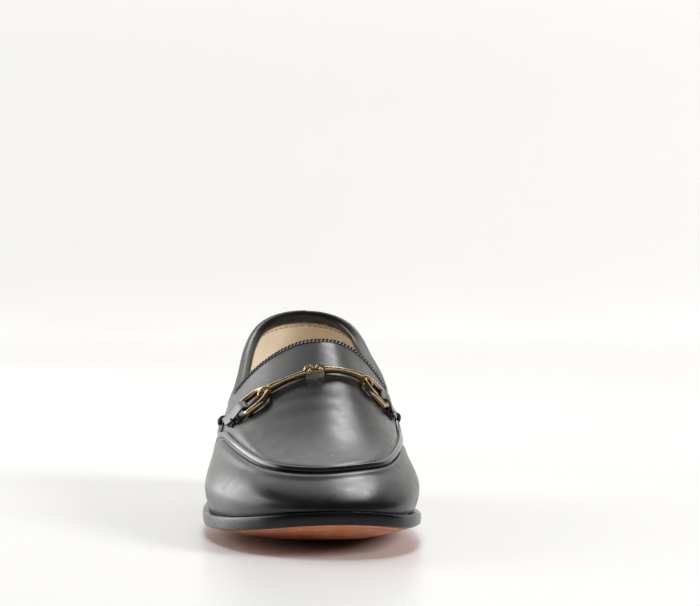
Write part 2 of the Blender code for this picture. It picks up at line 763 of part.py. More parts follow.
class Ring:
    """The flat stirrup ring of one side: where its plane lies and where its parts are."""

    def __init__(self, instep, side):
        self.sign = SIDES[side]
        self.middle = self.sign * (BIT_REACH + RING_LENGTH / 2)
        across, self.backward, self.normal = instep.frame(self.middle)
        self.outward = across * self.sign
        self.centre = instep.at(self.middle, RING_LIFT)

    def at(self, out, back):
        """A point in the ring's plane, 'out' from its round end."""
        return self.centre + self.outward * (out - RING_LENGTH / 2) + self.backward * back

    def path(self):
        """Closed path: the round end, a limb, the cross bar and the other limb."""
        radius = RING_WIDTH / 2
        turns = np.linspace(-0.5 * math.pi, 0.5 * math.pi, 13)
        round_end = [(radius * (1 - math.cos(turn)), radius * math.sin(turn)) for turn in turns]
        limb = [(RING_LENGTH - RING_CORNER, radius), (RING_LENGTH, radius - RING_CORNER)]
        return round_end + limb + [(out, -back) for out, back in limb[::-1]]


def build_bar(instep, ring, side, finish, collection):
    """One half of the bit: a bar along the instep with a wire eye at each end."""
    sign = SIDES[side]
    inner = sign * LINK_HALF_LENGTH
    places = np.linspace(inner + sign * INNER_EYE_RADIUS, sign * (BIT_REACH - OUTER_EYE_RADIUS), 9)
    missed = ring.at(-OUTER_EYE_RADIUS, 0.0) - instep.at(places[-1], BIT_LIFT)
    shares = smooth_step(np.arange(len(places)), 2, len(places) - 1)
    stations = [
        (instep.at(place, BIT_LIFT) + missed * share, *instep.frame(place)[1:])
        for place, share in zip(places, shares)
    ]
    pieces = [mesh_of("bar", *swept(stations, bar_profile(BAR_WIDTH, BAR_HEIGHT)))]
    across, _, normal = instep.frame(inner)
    eyes = (
        (instep.at(inner, BIT_LIFT), across, normal, INNER_EYE_RADIUS),
        (ring.at(0.0, 0.0), ring.outward, ring.normal, OUTER_EYE_RADIUS),
    )
    for centre, first, second, radius in eyes:
        stations = oval_stations(centre, first, second, radius, radius, 16)
        pieces.append(mesh_of("eye", *swept(stations, wire_profile(WIRE_RADIUS), closed=True)))
    joined("bit_bar_" + side, pieces, finish, collection)


def build_bit(instep, finish, collection):
    """The two bars, the link through their inner eyes and the ring in each outer eye."""
    for side in SIDES:
        ring = Ring(instep, side)
        build_bar(instep, ring, side, finish, collection)
        stations = loop_stations([ring.at(out, back) for out, back in ring.path()], ring.normal)
        body = swept(stations, bar_profile(RING_BAR_WIDTH, RING_BAR_HEIGHT), closed=True)
        add_object("bit_ring_" + side, mesh_of("bit_ring_" + side, *body), finish, collection)
    across, backward, _ = instep.frame(0.0)
    stations = oval_stations(instep.at(0.0, BIT_LIFT), across, backward, LINK_HALF_LENGTH, LINK_HALF_WIDTH, 16)
    body = swept(stations, wire_profile(LINK_WIRE_RADIUS), closed=True)
    add_object("bit_link", mesh_of("bit_link", *body), finish, collection)


def build_straps(instep, finish, collection):
    """Leather strap ends, each folded round its ring's cross bar and laid down to the apron seam."""
    bend = RING_BAR_HEIGHT / 2 + CLEARANCE + STRAP_THICKNESS / 2
    seated = 2.5 * CLEARANCE + STRAP_THICKNESS / 2
    doubled = seated + STRAP_THICKNESS + CLEARANCE
    turns = np.linspace(1.5 * math.pi, 0.5 * math.pi, 7)
    for side, sign in SIDES.items():
        ring = Ring(instep, side)
        bar = BIT_REACH + RING_LENGTH
        run = abs(instep.seams[side]) - PIPING_WIDTH / 2 - 2 * CLEARANCE - bar
        fold = [
            ring.at(RING_LENGTH + bend * math.cos(turn), 0.0) + ring.normal * bend * math.sin(turn)
            for turn in turns
        ]
        layers = []
        for start, rest in ((fold[0], seated), (fold[-1], doubled)):
            height = np.dot(start - instep.at(sign * bar, 0.0), ring.normal)
            drops = ((0.25, 0.25), (0.6, 0.85), (1.0, 1.0))
            layer = [
                instep.at(sign * (bar + run * out), height + (rest - height) * drop)
                for out, drop in drops
            ]
            layers.append(layer)
        centres = np.array(layers[0][::-1] + fold + layers[1])
        tangents = np.gradient(centres, axis=0)
        stations = []
        for centre, tangent in zip(centres, tangents):
            up = np.cross(ring.backward, tangent)
            stations.append((centre, ring.backward, up / np.linalg.norm(up)))
        body = swept(stations, bar_profile(STRAP_WIDTH, STRAP_THICKNESS, STRAP_EASE))
        add_object("strap_" + side, mesh_of("strap_" + side, *body), finish, collection)


def main():
    for item in list(bpy.data.objects):
        bpy.data.objects.remove(item)
    scene = bpy.context.scene
    shoe = bpy.data.collections.new("bit_loafer")
    scene.collection.children.link(shoe)
    calf = material("black_calf", (0.018, 0.018, 0.020), 0.32)
    edge = material("sole_leather", (0.36, 0.13, 0.07), 0.45)
    stack = material("heel_leather", (0.030, 0.026, 0.024), 0.35)
    rubber = material("lift_rubber", (0.020, 0.020, 0.020), 0.60)
    lining = material("lining_leather", (0.62, 0.47, 0.30), 0.40)
    brass = material("bit_metal", (0.83, 0.62, 0.36), 0.18, 1.0)
    last = Last()
    upper = Upper(last)
    build_upper(upper, calf, shoe)
    build_outsole(last, edge, shoe)
    build_insole(last, lining, shoe)
    build_heel(last, {"heel_stack": stack, "heel_top_lift": rubber}, shoe)
    build_piping(upper, calf, shoe)
    instep = Instep(upper)
    build_bit(instep, brass, shoe)
    build_straps(instep, calf, shoe)


if __name__ == "__main__":
    main()
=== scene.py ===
import logging
import math
from dataclasses import dataclass, field
from enum import Enum
from typing import Sequence

import bmesh
import bpy
import numpy as np
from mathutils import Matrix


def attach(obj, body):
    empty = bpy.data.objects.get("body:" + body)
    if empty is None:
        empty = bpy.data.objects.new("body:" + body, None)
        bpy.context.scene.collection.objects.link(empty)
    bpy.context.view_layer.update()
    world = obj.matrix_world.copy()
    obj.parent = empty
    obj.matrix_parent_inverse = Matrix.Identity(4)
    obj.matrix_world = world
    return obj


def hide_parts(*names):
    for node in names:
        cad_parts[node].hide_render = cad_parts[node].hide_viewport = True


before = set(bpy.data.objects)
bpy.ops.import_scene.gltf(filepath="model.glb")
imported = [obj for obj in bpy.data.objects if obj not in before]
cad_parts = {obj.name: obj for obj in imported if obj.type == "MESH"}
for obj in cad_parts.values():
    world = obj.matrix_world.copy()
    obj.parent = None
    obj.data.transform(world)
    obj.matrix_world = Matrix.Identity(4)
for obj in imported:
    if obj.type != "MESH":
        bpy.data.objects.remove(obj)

logging.basicConfig(level=logging.INFO, format="%(name)s: %(message)s")
log = logging.getLogger("bit_loafer")

Array = np.ndarray
Frames = tuple[Array, Array, Array]
Body = tuple[Array, list]
Material = bpy.types.Material
Socket = bpy.types.NodeSocket


class Side(Enum):
    """The two sides of the shoe, and which way each lies in X."""

    LATERAL = -1
    MEDIAL = 1


# Plan of the outsole: along, lateral across, medial across
SOLE_OUTLINE = (
    (0.014, -0.130, 0.545),
    (0.047, -0.400, 0.735),
    (0.100, -0.640, 0.880),
    (0.180, -0.840, 0.970),
    (0.275, -0.965, 1.000),
    (0.375, -1.000, 0.970),
    (0.480, -0.960, 0.890),
    (0.590, -0.870, 0.840),
    (0.690, -0.860, 0.870),
    (0.785, -0.920, 0.960),
    (0.865, -0.940, 1.010),
    (0.945, -0.780, 0.860),
    (0.985, -0.400, 0.500),
)

# Crest of the last: along, height (share of the instep height), shift across, roundness
CREST = (
    (0.00, 0.330, 0.00, 0.40),
    (0.06, 0.375, 0.02, 0.40),
    (0.12, 0.425, 0.05, 0.40),
    (0.20, 0.510, 0.09, 0.40),
    (0.30, 0.655, 0.12, 0.41),
    (0.40, 0.835, 0.15, 0.44),
    (0.49, 1.000, 0.17, 0.45),
    (0.60, 1.180, 0.12, 0.33),
    (0.75, 1.300, 0.03, 0.32),
    (0.88, 1.240, 0.00, 0.36),
    (1.00, 1.240, 0.00, 0.36),
)

# Swell of the sides: along, lateral and medial share of the belly, reach up
SWELL = (
    (0.00, 0.55, 0.55, 0.27),
    (0.15, 0.70, 0.70, 0.27),
    (0.30, 0.80, 0.85, 0.27),
    (0.42, 0.60, 1.00, 0.45),
    (0.55, 1.00, 2.00, 0.90),
    (0.70, 1.10, 1.90, 1.10),
    (0.85, 0.90, 0.90, 1.20),
    (1.00, 0.80, 0.80, 1.00),
)

# Throat edge from the crest to the corner: lateral along, height, medial along, height
THROAT = (
    (0.492, 1.000, 0.492, 1.000),
    (0.496, 0.975, 0.500, 0.985),
    (0.503, 0.905, 0.510, 0.935),
    (0.513, 0.820, 0.520, 0.860),
    (0.526, 0.735, 0.534, 0.780),
    (0.552, 0.672, 0.556, 0.710),
)

# Rise of the collar from its corners to the back: along, lateral and medial share of the rise
COLLAR = (
    (0.50, 0.00, 0.06),
    (0.58, 0.02, 0.15),
    (0.66, 0.13, 0.31),
    (0.76, 0.37, 0.46),
    (0.86, 0.67, 0.66),
    (0.93, 0.92, 0.91),
    (0.96, 1.00, 1.00),
    (1.00, 1.04, 1.04),
)

# Apron seam from its lateral end round the toe to its medial end: along, across
SEAM = (
    (0.500, -0.862),
    (0.470, -0.865),
    (0.430, -0.852),
    (0.390, -0.812),
    (0.331, -0.762),
    (0.264, -0.690),
    (0.197, -0.600),
    (0.138, -0.440),
    (0.114, -0.170),
    (0.112, 0.020),
    (0.119, 0.220),
    (0.150, 0.544),
    (0.213, 0.728),
    (0.335, 0.872),
    (0.430, 0.925),
    (0.480, 0.937),
    (0.520, 0.934),
)
SEAM_FRONT_ROW = 10

# Soft creases across the vamp, in millimetres: along, lean, bow, reach across, depth, width
CREASES = (
    (95.0, 0.08, 1.6, 20.0, 0.07, 2.6),
    (87.0, -0.10, 2.2, 23.0, 0.08, 3.2),
    (77.0, 0.12, 1.4, 18.0, 0.05, 3.6),
)

# Relief beside the apron seam, in millimetres: distance up the rib from the seam, spread, height
SEAM_RELIEF = (
    (-2.1, 0.8, -0.55),
    (2.1, 0.8, -0.35),
    (-5.2, 2.2, 0.45),
    (5.0, 2.0, 0.20),
)

# Arcs of the whip stitches, as distance along and height in metres: over a strap's edge, a foot, a knot
EDGE_ARC = ((0.0022, 0.0004), (0.0016, 0.0019), (0.0002, 0.0023), (-0.0012, 0.0015), (-0.0020, 0.0001))
FOOT_ARC = ((0.0, 0.0001), (0.0004, 0.0007), (0.0012, 0.0007), (0.0018, 0.0001))
KNOT_ARC = ((-0.0021, -0.0004), (-0.0016, 0.0010), (0.0, 0.0018), (0.0016, 0.0010), (0.0021, -0.0004))

# Loop of the collar roll's section: millimetres down from the edge, millimetres inwards
COLLAR_ROLL = (
    (3.2, 0.15),
    (2.0, -0.12),
    (0.8, -0.16),
    (0.0, 0.10),
    (-0.45, 0.90),
    (-0.45, 2.00),
    (0.05, 2.90),
    (1.2, 3.50),
    (2.8, 3.60),
    (4.3, 3.30),
    (5.4, 2.60),
    (5.6, 1.90),
    (4.8, 1.20),
)


def natural_spline(knots: Sequence, values: Sequence, at: Array) -> Array:
    """Natural cubic spline: cubic pieces with equal slope and bend where they meet, none at the ends.

    Args:
        knots: rising places of the known values.
        values: the known values.
        at: places to read, of any shape.

    Returns:
        The values there, in the shape of 'at'.
    """
    knots, values, at = (np.asarray(item, float) for item in (knots, values, at))
    step = np.diff(knots)
    system = np.eye(len(knots))
    right = np.zeros(len(knots))
    inner = np.arange(1, len(knots) - 1)
    system[inner, inner - 1] = step[:-1]
    system[inner, inner] = 2 * (step[:-1] + step[1:])
    system[inner, inner + 1] = step[1:]
    right[inner] = 6 * np.diff(np.diff(values) / step)
    bend = np.linalg.solve(system, right)
    i = np.clip(np.searchsorted(knots, at) - 1, 0, len(knots) - 2)
    before = (knots[i + 1] - at) / step[i]
    after = 1 - before
    curved = (before**3 - before) * bend[i] + (after**3 - after) * bend[i + 1]
    return before * values[i] + after * values[i + 1] + curved * step[i] ** 2 / 6


def smooth_step(value: Array | float, low: float, high: float) -> Array:
    """0 below 'low', 1 above 'high', and t * t * (3 - 2 t) between."""
    t = np.clip((np.asarray(value, float) - low) / (high - low), 0, 1)
    return t * t * (3 - 2 * t)


def bell(value: Array, middle: float, spread: float) -> Array:
    """Bell curve of height 1 round 'middle'."""
    return np.exp(-(((value - middle) / spread) ** 2))


def unit(vectors: Array) -> Array:
    """Vectors scaled to length 1 along their last axis."""
    return vectors / np.maximum(np.linalg.norm(vectors, axis=-1, keepdims=True), 1e-12)


def run_of(points: Array) -> Array:
    """Length run along a polyline at each of its points."""
    return np.concatenate([[0], np.cumsum(np.linalg.norm(np.diff(points, axis=0), axis=1))])


def read_at(places: Array | float, run: Array, values: Array) -> Array:
    """Rows of values known at 'run', read at these places."""
    return np.stack([np.interp(places, run, values[:, k]) for k in range(values.shape[1])], axis=-1)


def resample(points: Array, shares: Array) -> Array:
    """Points of a polyline at these shares of its length."""
    run = run_of(points)
    return read_at(np.asarray(shares) * run[-1], run, points)


def curve_through(points: Sequence, count: int = 400) -> Array:
    """Dense natural spline through points by chord length."""
    points = np.asarray(points, float)
    run = run_of(points)
    at = np.linspace(0, run[-1], count)
    return np.stack([natural_spline(run, points[:, k], at) for k in range(points.shape[1])], axis=1)


def grid_normals(grid: Array) -> Array:
    """Unit normals of a grid of points: the cross product of its slopes along both parameters."""
    return unit(np.cross(np.gradient(grid, axis=0), np.gradient(grid, axis=1)))


def quads(rows: int, columns: int, wrap_rows: bool = False, wrap_columns: bool = False) -> Array:
    """Corner numbers of the quads of a grid, joined end to end where it wraps.

    Args:
        rows: points along the first parameter.
        columns: points along the second parameter.
        wrap_rows: joins the last row to the first.
        wrap_columns: joins the last column to the first.

    Returns:
        One row of four corner numbers for each quad.
    """
    i, j = np.meshgrid(
        np.arange(rows if wrap_rows else rows - 1),
        np.arange(columns if wrap_columns else columns - 1),
        indexing="ij",
    )
    below, right = (i + 1) % rows, (j + 1) % columns
    corners = (i * columns + j, below * columns + j, below * columns + right, i * columns + right)
    return np.stack([corner.ravel() for corner in corners], axis=1)


def tube_faces(rows: int, columns: int, closed: bool = False) -> list:
    """Faces of a tube of sections, joined end to end where closed and otherwise capped."""
    faces = quads(rows, columns, closed, True).tolist()
    if not closed:
        faces += [list(range(columns)), list(range((rows - 1) * columns, rows * columns))]
    return faces


def make_piece(
    name: str,
    parts: Sequence[tuple[Array, Sequence]],
    finishes: Sequence[Material],
    which: Sequence[int] | None = None,
    closed: bool = True,
) -> bpy.types.Object:
    """One object from one or more sets of points and faces, welded and shaded smooth.

    Args:
        name: the object's name.
        parts: for each set its points and its faces.
        finishes: materials of the object.
        which: for each set the number of its material.
        closed: turns all the faces outwards, as on a closed body.

    Returns:
        The new object, at the origin.
    """
    points: list = []
    faces: list = []
    marks: list = []
    for number, (some, corners) in enumerate(parts):
        start = len(points)
        points += np.asarray(some, float).reshape(-1, 3).tolist()
        faces += [[start + int(c) for c in corner] for corner in corners]
        marks += [which[number] if which else 0] * len(corners)
    mesh = bpy.data.meshes.new(name)
    mesh.from_pydata(points, [], faces)
    for finish in finishes:
        mesh.materials.append(finish)
    mesh.polygons.foreach_set("material_index", marks)
    work = bmesh.new()
    work.from_mesh(mesh)
    bmesh.ops.remove_doubles(work, verts=work.verts, dist=2e-6)
    bmesh.ops.dissolve_degenerate(work, edges=work.edges, dist=1e-7)
    if closed:
        bmesh.ops.recalc_face_normals(work, faces=work.faces)
    work.to_mesh(mesh)
    work.free()
    mesh.shade_smooth()
    piece = bpy.data.objects.new(name, mesh)
    bpy.context.scene.collection.objects.link(piece)
    return piece


def publish(piece: bpy.types.Object, slot: str, *nodes: str) -> bpy.types.Object:
    """Hangs a piece on the shoe's body and hides the solids that it stands for."""
    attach(piece, "root")
    if nodes:
        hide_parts(*nodes)
    log.info("%s: %d vertices, %d faces", piece.name, len(piece.data.vertices), len(piece.data.polygons))
    return piece


def path_frames(centres: Array, up: Array, closed: bool = False) -> Frames:
    """Centres, right and up directions along a path, all square to it.

    Args:
        centres: points of the path.
        up: wished up direction, one or one for each point.
        closed: whether the path joins its start.

    Returns:
        Centres, rights and ups.
    """
    if closed:
        tangents = np.roll(centres, -1, axis=0) - np.roll(centres, 1, axis=0)
    else:
        tangents = np.gradient(centres, axis=0)
    rights = unit(np.cross(tangents, np.broadcast_to(up, centres.shape)))
    return centres, rights, unit(np.cross(rights, tangents))


def sweep(frames: Frames, profile: Array, sizes: Array | None = None, closed: bool = False) -> Body:
    """Body of a closed profile carried along a path: centre + right * a * size + up * b * size.

    Args:
        frames: centres, rights and ups of the path.
        profile: (n, 2) outline as right and up distances.
        sizes: (rows, 2) scale of the profile along the path.
        closed: joins the last section to the first; otherwise both ends are capped.

    Returns:
        Points and faces.
    """
    centres, rights, ups = frames
    rows, columns = len(centres), len(profile)
    sizes = np.ones((rows, 2)) if sizes is None else np.asarray(sizes, float)
    a = profile[None, :, 0] * sizes[:, :1]
    b = profile[None, :, 1] * sizes[:, 1:]
    points = centres[:, None] + rights[:, None] * a[..., None] + ups[:, None] * b[..., None]
    return points.reshape(-1, 3), tube_faces(rows, columns, closed)


def rounded_profile(width: float, height: float, power: float = 2.6, count: int = 20) -> Array:
    """Superellipse outline: |x / a|^p + |y / b|^p = 1."""
    turns = np.arange(count) * 2 * math.pi / count
    c, s = np.cos(turns), np.sin(turns)
    return np.stack(
        [
            0.5 * width * np.sign(c) * np.abs(c) ** (2 / power),
            0.5 * height * np.sign(s) * np.abs(s) ** (2 / power),
        ],
        axis=1,
    )


def stitch_rows(path: Array, up: Array, pitch: float, length: float, width: float, turn: float = 0.0) -> list:
    """Small half-sunk threads laid end to end along a path, as one joined mesh.

    Each stitch is a spindle: sections whose radius is the square root of 1 - t * t along its length.

    Args:
        path: points of the row.
        up: direction away from the surface at those points.
        pitch: distance from stitch to stitch.
        length: length of each stitch.
        width: thickness of the thread.
        turn: angle between each stitch and the row.

    Returns:
        One set of points and faces.
    """
    run = run_of(path)
    at = np.arange(0.5 * pitch, run[-1], pitch)
    centre = read_at(at, run, path)
    tangent = unit(read_at(at, run, np.gradient(path, run, axis=0)))
    normal = unit(read_at(at, run, up))
    side = unit(np.cross(normal, tangent))
    tangent = tangent * math.cos(turn) + side * math.sin(turn)
    side = unit(np.cross(normal, tangent))
    t = np.array([-1.0, -0.8, -0.35, 0.35, 0.8, 1.0])
    radius = 0.5 * width * np.sqrt(np.maximum(1 - np.abs(t) ** 3, 0.02))
    turns = np.arange(6) * math.pi / 3
    ring = side[:, None] * np.cos(turns)[None, :, None] + normal[:, None] * np.sin(turns)[None, :, None]
    points = centre[:, None, None] + tangent[:, None, None] * (0.5 * length * t)[None, :, None, None]
    points = points + ring[:, None] * radius[None, :, None, None]
    own = quads(6, 6, False, True)
    starts = (np.arange(len(at)) * 36)[:, None, None]
    faces = (own[None] + starts).reshape(-1, 4).tolist()
    caps = np.stack([np.arange(6), np.arange(30, 36)])
    faces += (caps[None] + starts).reshape(-1, 6).tolist()
    return [(points.reshape(-1, 3), faces)]


class Shader:
    """Short way to lay down the nodes of one procedural material."""

    def __init__(self, name: str) -> None:
        """Starts a material whose patterns read Object coordinates."""
        self.material = bpy.data.materials.new(name)
        self.material.use_nodes = True
        self.tree = self.material.node_tree
        self.surface = self.tree.nodes["Principled BSDF"]
        self.place = self.tree.nodes.new("ShaderNodeTexCoord").outputs["Object"]

    def set(self, **values: object) -> "Shader":
        """Sets sockets of the surface by name, with underscores for spaces."""
        for name, value in values.items():
            self.surface.inputs[name.replace("_", " ")].default_value = value
        return self

    def node(self, kind: str, links: dict, **values: object) -> bpy.types.Node:
        """Adds a node, links its named inputs and sets its other inputs or properties."""
        made = self.tree.nodes.new(kind)
        for name, value in values.items():
            if hasattr(made, name):
                setattr(made, name, value)
            else:
                made.inputs[name.replace("_", " ")].default_value = value
        for name, source in links.items():
            self.tree.links.new(source, made.inputs[name])
        return made

    def noise(self, scale: float, detail: float = 3.0, stretch: Sequence = (1, 1, 1)) -> Socket:
        """Fractal noise of this many waves a metre, stretched along the axes."""
        mapped = self.node("ShaderNodeMapping", {"Vector": self.place}, Scale=stretch)
        made = self.node("ShaderNodeTexNoise", {"Vector": mapped.outputs[0]}, Scale=scale, Detail=detail)
        return made.outputs["Fac"]

    def pattern(self, source: tuple | float) -> Socket:
        """Noise from its settings, or the distance in Voronoi cells of this many a metre."""
        if isinstance(source, tuple):
            return self.noise(*source)
        return self.node("ShaderNodeTexVoronoi", {"Vector": self.place}, Scale=source).outputs["Distance"]

    def ramp(self, source: Socket, low: float, high: float, start: Sequence, end: Sequence) -> None:
        """Base colour that goes from 'start' to 'end' as the source goes from low to high."""
        made = self.node("ShaderNodeValToRGB", {"Fac": source})
        stops = made.color_ramp.elements
        stops[0].position, stops[0].color = low, (*start, 1)
        stops[1].position, stops[1].color = high, (*end, 1)
        self.tree.links.new(made.outputs["Color"], self.surface.inputs["Base Color"])

    def spread(self, source: Socket, socket: str, low: float, high: float) -> None:
        """Lets the source move a socket of the surface between two values."""
        made = self.node("ShaderNodeMapRange", {"Value": source}, To_Min=low, To_Max=high)
        made.inputs["From Min"].default_value = 0.3
        made.inputs["From Max"].default_value = 0.7
        self.tree.links.new(made.outputs[0], self.surface.inputs[socket])

    def bump(self, *layers: tuple[Socket, float, float]) -> "Shader":
        """Stacks bump layers of (source, strength, depth in metres) on the surface's normal."""
        before = None
        for source, strength, depth in layers:
            links = {"Height": source}
            if before is not None:
                links["Normal"] = before
            made = self.node("ShaderNodeBump", links, Strength=strength, Distance=depth)
            before = made.outputs["Normal"]
        self.tree.links.new(before, self.surface.inputs["Normal"])
        return self


@dataclass(frozen=True)
class Finish:
    """One procedural finish: a colour and a roughness that drift with noise, over layers of bump.

    Noise is (waves a metre, detail) or (waves a metre, detail, stretch). A colour without 'high' is even.
    A bump layer is (noise, strength, depth in metres), and one number in place of noise asks for cells.
    """

    name: str
    low: tuple
    high: tuple = ()
    drift: tuple = (60.0, 4.0)
    stops: tuple = (0.35, 0.65)
    gloss: tuple = (0.40, 0.50)
    gloss_drift: tuple = (300.0, 4.0)
    layers: tuple = ()
    surface: dict = field(default_factory=dict)

    def shader(self) -> Shader:
        """Lays down the nodes."""
        made = Shader(self.name).set(**self.surface)
        if self.high:
            made.ramp(made.noise(*self.drift), *self.stops, self.low, self.high)
        else:
            made.set(Base_Color=(*self.low, 1))
        made.spread(made.noise(*self.gloss_drift), "Roughness", *self.gloss)
        if self.layers:
            made.bump(*((made.pattern(source), strength, depth) for source, strength, depth in self.layers))
        return made

    def build(self) -> Material:
        """The finished material."""
        return self.shader().material


@dataclass(frozen=True)
class FloorFinish(Finish):
    """A floor that glows softly far from the shoe, where the lights don't reach."""

    glow: tuple = (0.83, 0.82, 0.80)
    glow_from: float = 0.25
    glow_to: float = 2.5
    glow_strength: float = 0.80

    def shader(self) -> Shader:
        """The plain finish, with a glow that grows with the distance from the floor's middle."""
        made = super().shader().set(Emission_Color=(*self.glow, 1))
        away = made.node("ShaderNodeVectorMath", {"Vector": made.place}, operation="LENGTH")
        far = made.node("ShaderNodeMapRange", {"Value": away.outputs["Value"]}, To_Max=self.glow_strength)
        far.inputs["From Min"].default_value = self.glow_from
        far.inputs["From Max"].default_value = self.glow_to
        made.tree.links.new(far.outputs[0], made.surface.inputs["Emission Strength"])
        return made


def calf_finish(name: str, gloss: tuple, grain: float, coat: float) -> Finish:
    """Black box calf: polished, with a tight grain from fine noise and slow drifts of colour and gloss."""
    return Finish(
        name,
        (0.0050, 0.0050, 0.0056),
        (0.0100, 0.0098, 0.0105),
        gloss=gloss,
        gloss_drift=(220.0, 4.0),
        layers=(((70.0, 2.0), 0.05, 0.0004), ((800.0, 1.0), grain, 0.00010), ((1900.0, 1.0), grain, 0.00005)),
        surface={"Coat_Weight": coat, "Coat_Roughness": 0.18, "Specular_IOR_Level": 0.5},
    )


def thread_finish(name: str, colour: tuple, roughness: float) -> Finish:
    """Waxed thread, its twisted fibres from fine slanted noise."""
    return Finish(
        name,
        colour,
        gloss=(roughness - 0.08, roughness + 0.08),
        gloss_drift=(900.0, 2.0),
        layers=(((3000.0, 2.0, (1.0, 0.4, 1.0)), 0.4, 0.0001),),
    )


class Finishes(Enum):
    """Every finish of the shoe and of its floor."""

    # Box calf of the upper, and the same leather rolled smooth
    CALF = calf_finish("black_calf_dressed", (0.27, 0.37), 0.18, 0.06)
    ROLLED_CALF = calf_finish("piping_calf", (0.20, 0.28), 0.03, 0.3)
    # Champagne lining leather with a soft metallic lustre
    LINING = Finish(
        "gold_lining",
        (0.91, 0.78, 0.60),
        (0.96, 0.86, 0.71),
        drift=(140.0, 5.0),
        gloss=(0.40, 0.52),
        layers=((1700.0, 0.12, 0.0001), ((2400.0,), 0.12, 0.00006)),
        surface={"Metallic": 0.10, "Specular_IOR_Level": 0.5},
    )
    # Tan sole leather, its fibres brushed along the shoe
    SOLE = Finish(
        "tan_sole_leather",
        (0.56, 0.195, 0.085),
        (0.68, 0.260, 0.125),
        drift=(160.0, 6.0, (1.0, 0.15, 1.0)),
        gloss=(0.36, 0.50),
        gloss_drift=(90.0, 4.0),
        layers=(((900.0, 4.0, (1.0, 0.2, 1.0)), 0.15, 0.0001), (1300.0, 0.08, 0.00008)),
        surface={"Specular_IOR_Level": 0.45},
    )
    # Burnished edge dressing, with faint strokes along the edge
    EDGE = Finish(
        "black_edge_paint",
        (0.004, 0.004, 0.0045),
        gloss=(0.22, 0.30),
        gloss_drift=(120.0, 3.0),
        layers=(((500.0, 3.0, (0.3, 0.3, 2.0)), 0.10, 0.0001),),
        surface={"Specular_IOR_Level": 0.28},
    )
    # Stacked heel leather, stained black, with fine layers
    STACK = Finish(
        "stacked_heel_leather",
        (0.010, 0.009, 0.009),
        (0.022, 0.019, 0.018),
        drift=(90.0, 5.0, (0.2, 0.2, 9.0)),
        gloss=(0.26, 0.40),
        gloss_drift=(200.0, 3.0),
        layers=(((120.0, 4.0, (0.2, 0.2, 8.0)), 0.15, 0.0002),),
        surface={"Coat_Weight": 0.2, "Coat_Roughness": 0.15},
    )
    # Dull rubber with a slight pebble
    RUBBER = Finish(
        "top_lift_rubber",
        (0.016, 0.016, 0.016),
        gloss=(0.50, 0.66),
        layers=(((1200.0, 4.0), 0.2, 0.0001),),
    )
    # Pale gold plate on cast brass, with faint polishing waves
    PLATE = Finish(
        "gold_plate",
        (0.60, 0.42, 0.21),
        (0.76, 0.57, 0.33),
        drift=(200.0, 4.0),
        gloss=(0.16, 0.28),
        gloss_drift=(500.0, 4.0),
        layers=(((420.0, 2.0), 0.15, 0.0001),),
        surface={"Metallic": 1.0},
    )
    BLACK_THREAD = thread_finish("black_thread", (0.012, 0.012, 0.013), 0.5)
    # Light grey thread: a painted highlight on the black stitches at the throat's edge, laid as a row of
    # short strokes under them
    PAINTED_THREAD_HIGHLIGHT = thread_finish("painted_thread_highlight", (0.26, 0.26, 0.25), 0.40)
    GOLD_THREAD = thread_finish("gold_thread", (0.42, 0.29, 0.15), 0.45)
    TAN_THREAD = thread_finish("tan_thread", (0.42, 0.20, 0.11), 0.55)
    # Pale, slightly satin studio floor
    FLOOR = FloorFinish(
        "pale_floor",
        (0.7289, 0.723975, 0.714125),
        (0.74, 0.735, 0.725),
        drift=(3.0, 2.0),
        stops=(0.3, 0.7),
        gloss=(0.30, 0.34),
        gloss_drift=(8.0, 2.0),
        surface={"Specular_IOR_Level": 0.5},
    )


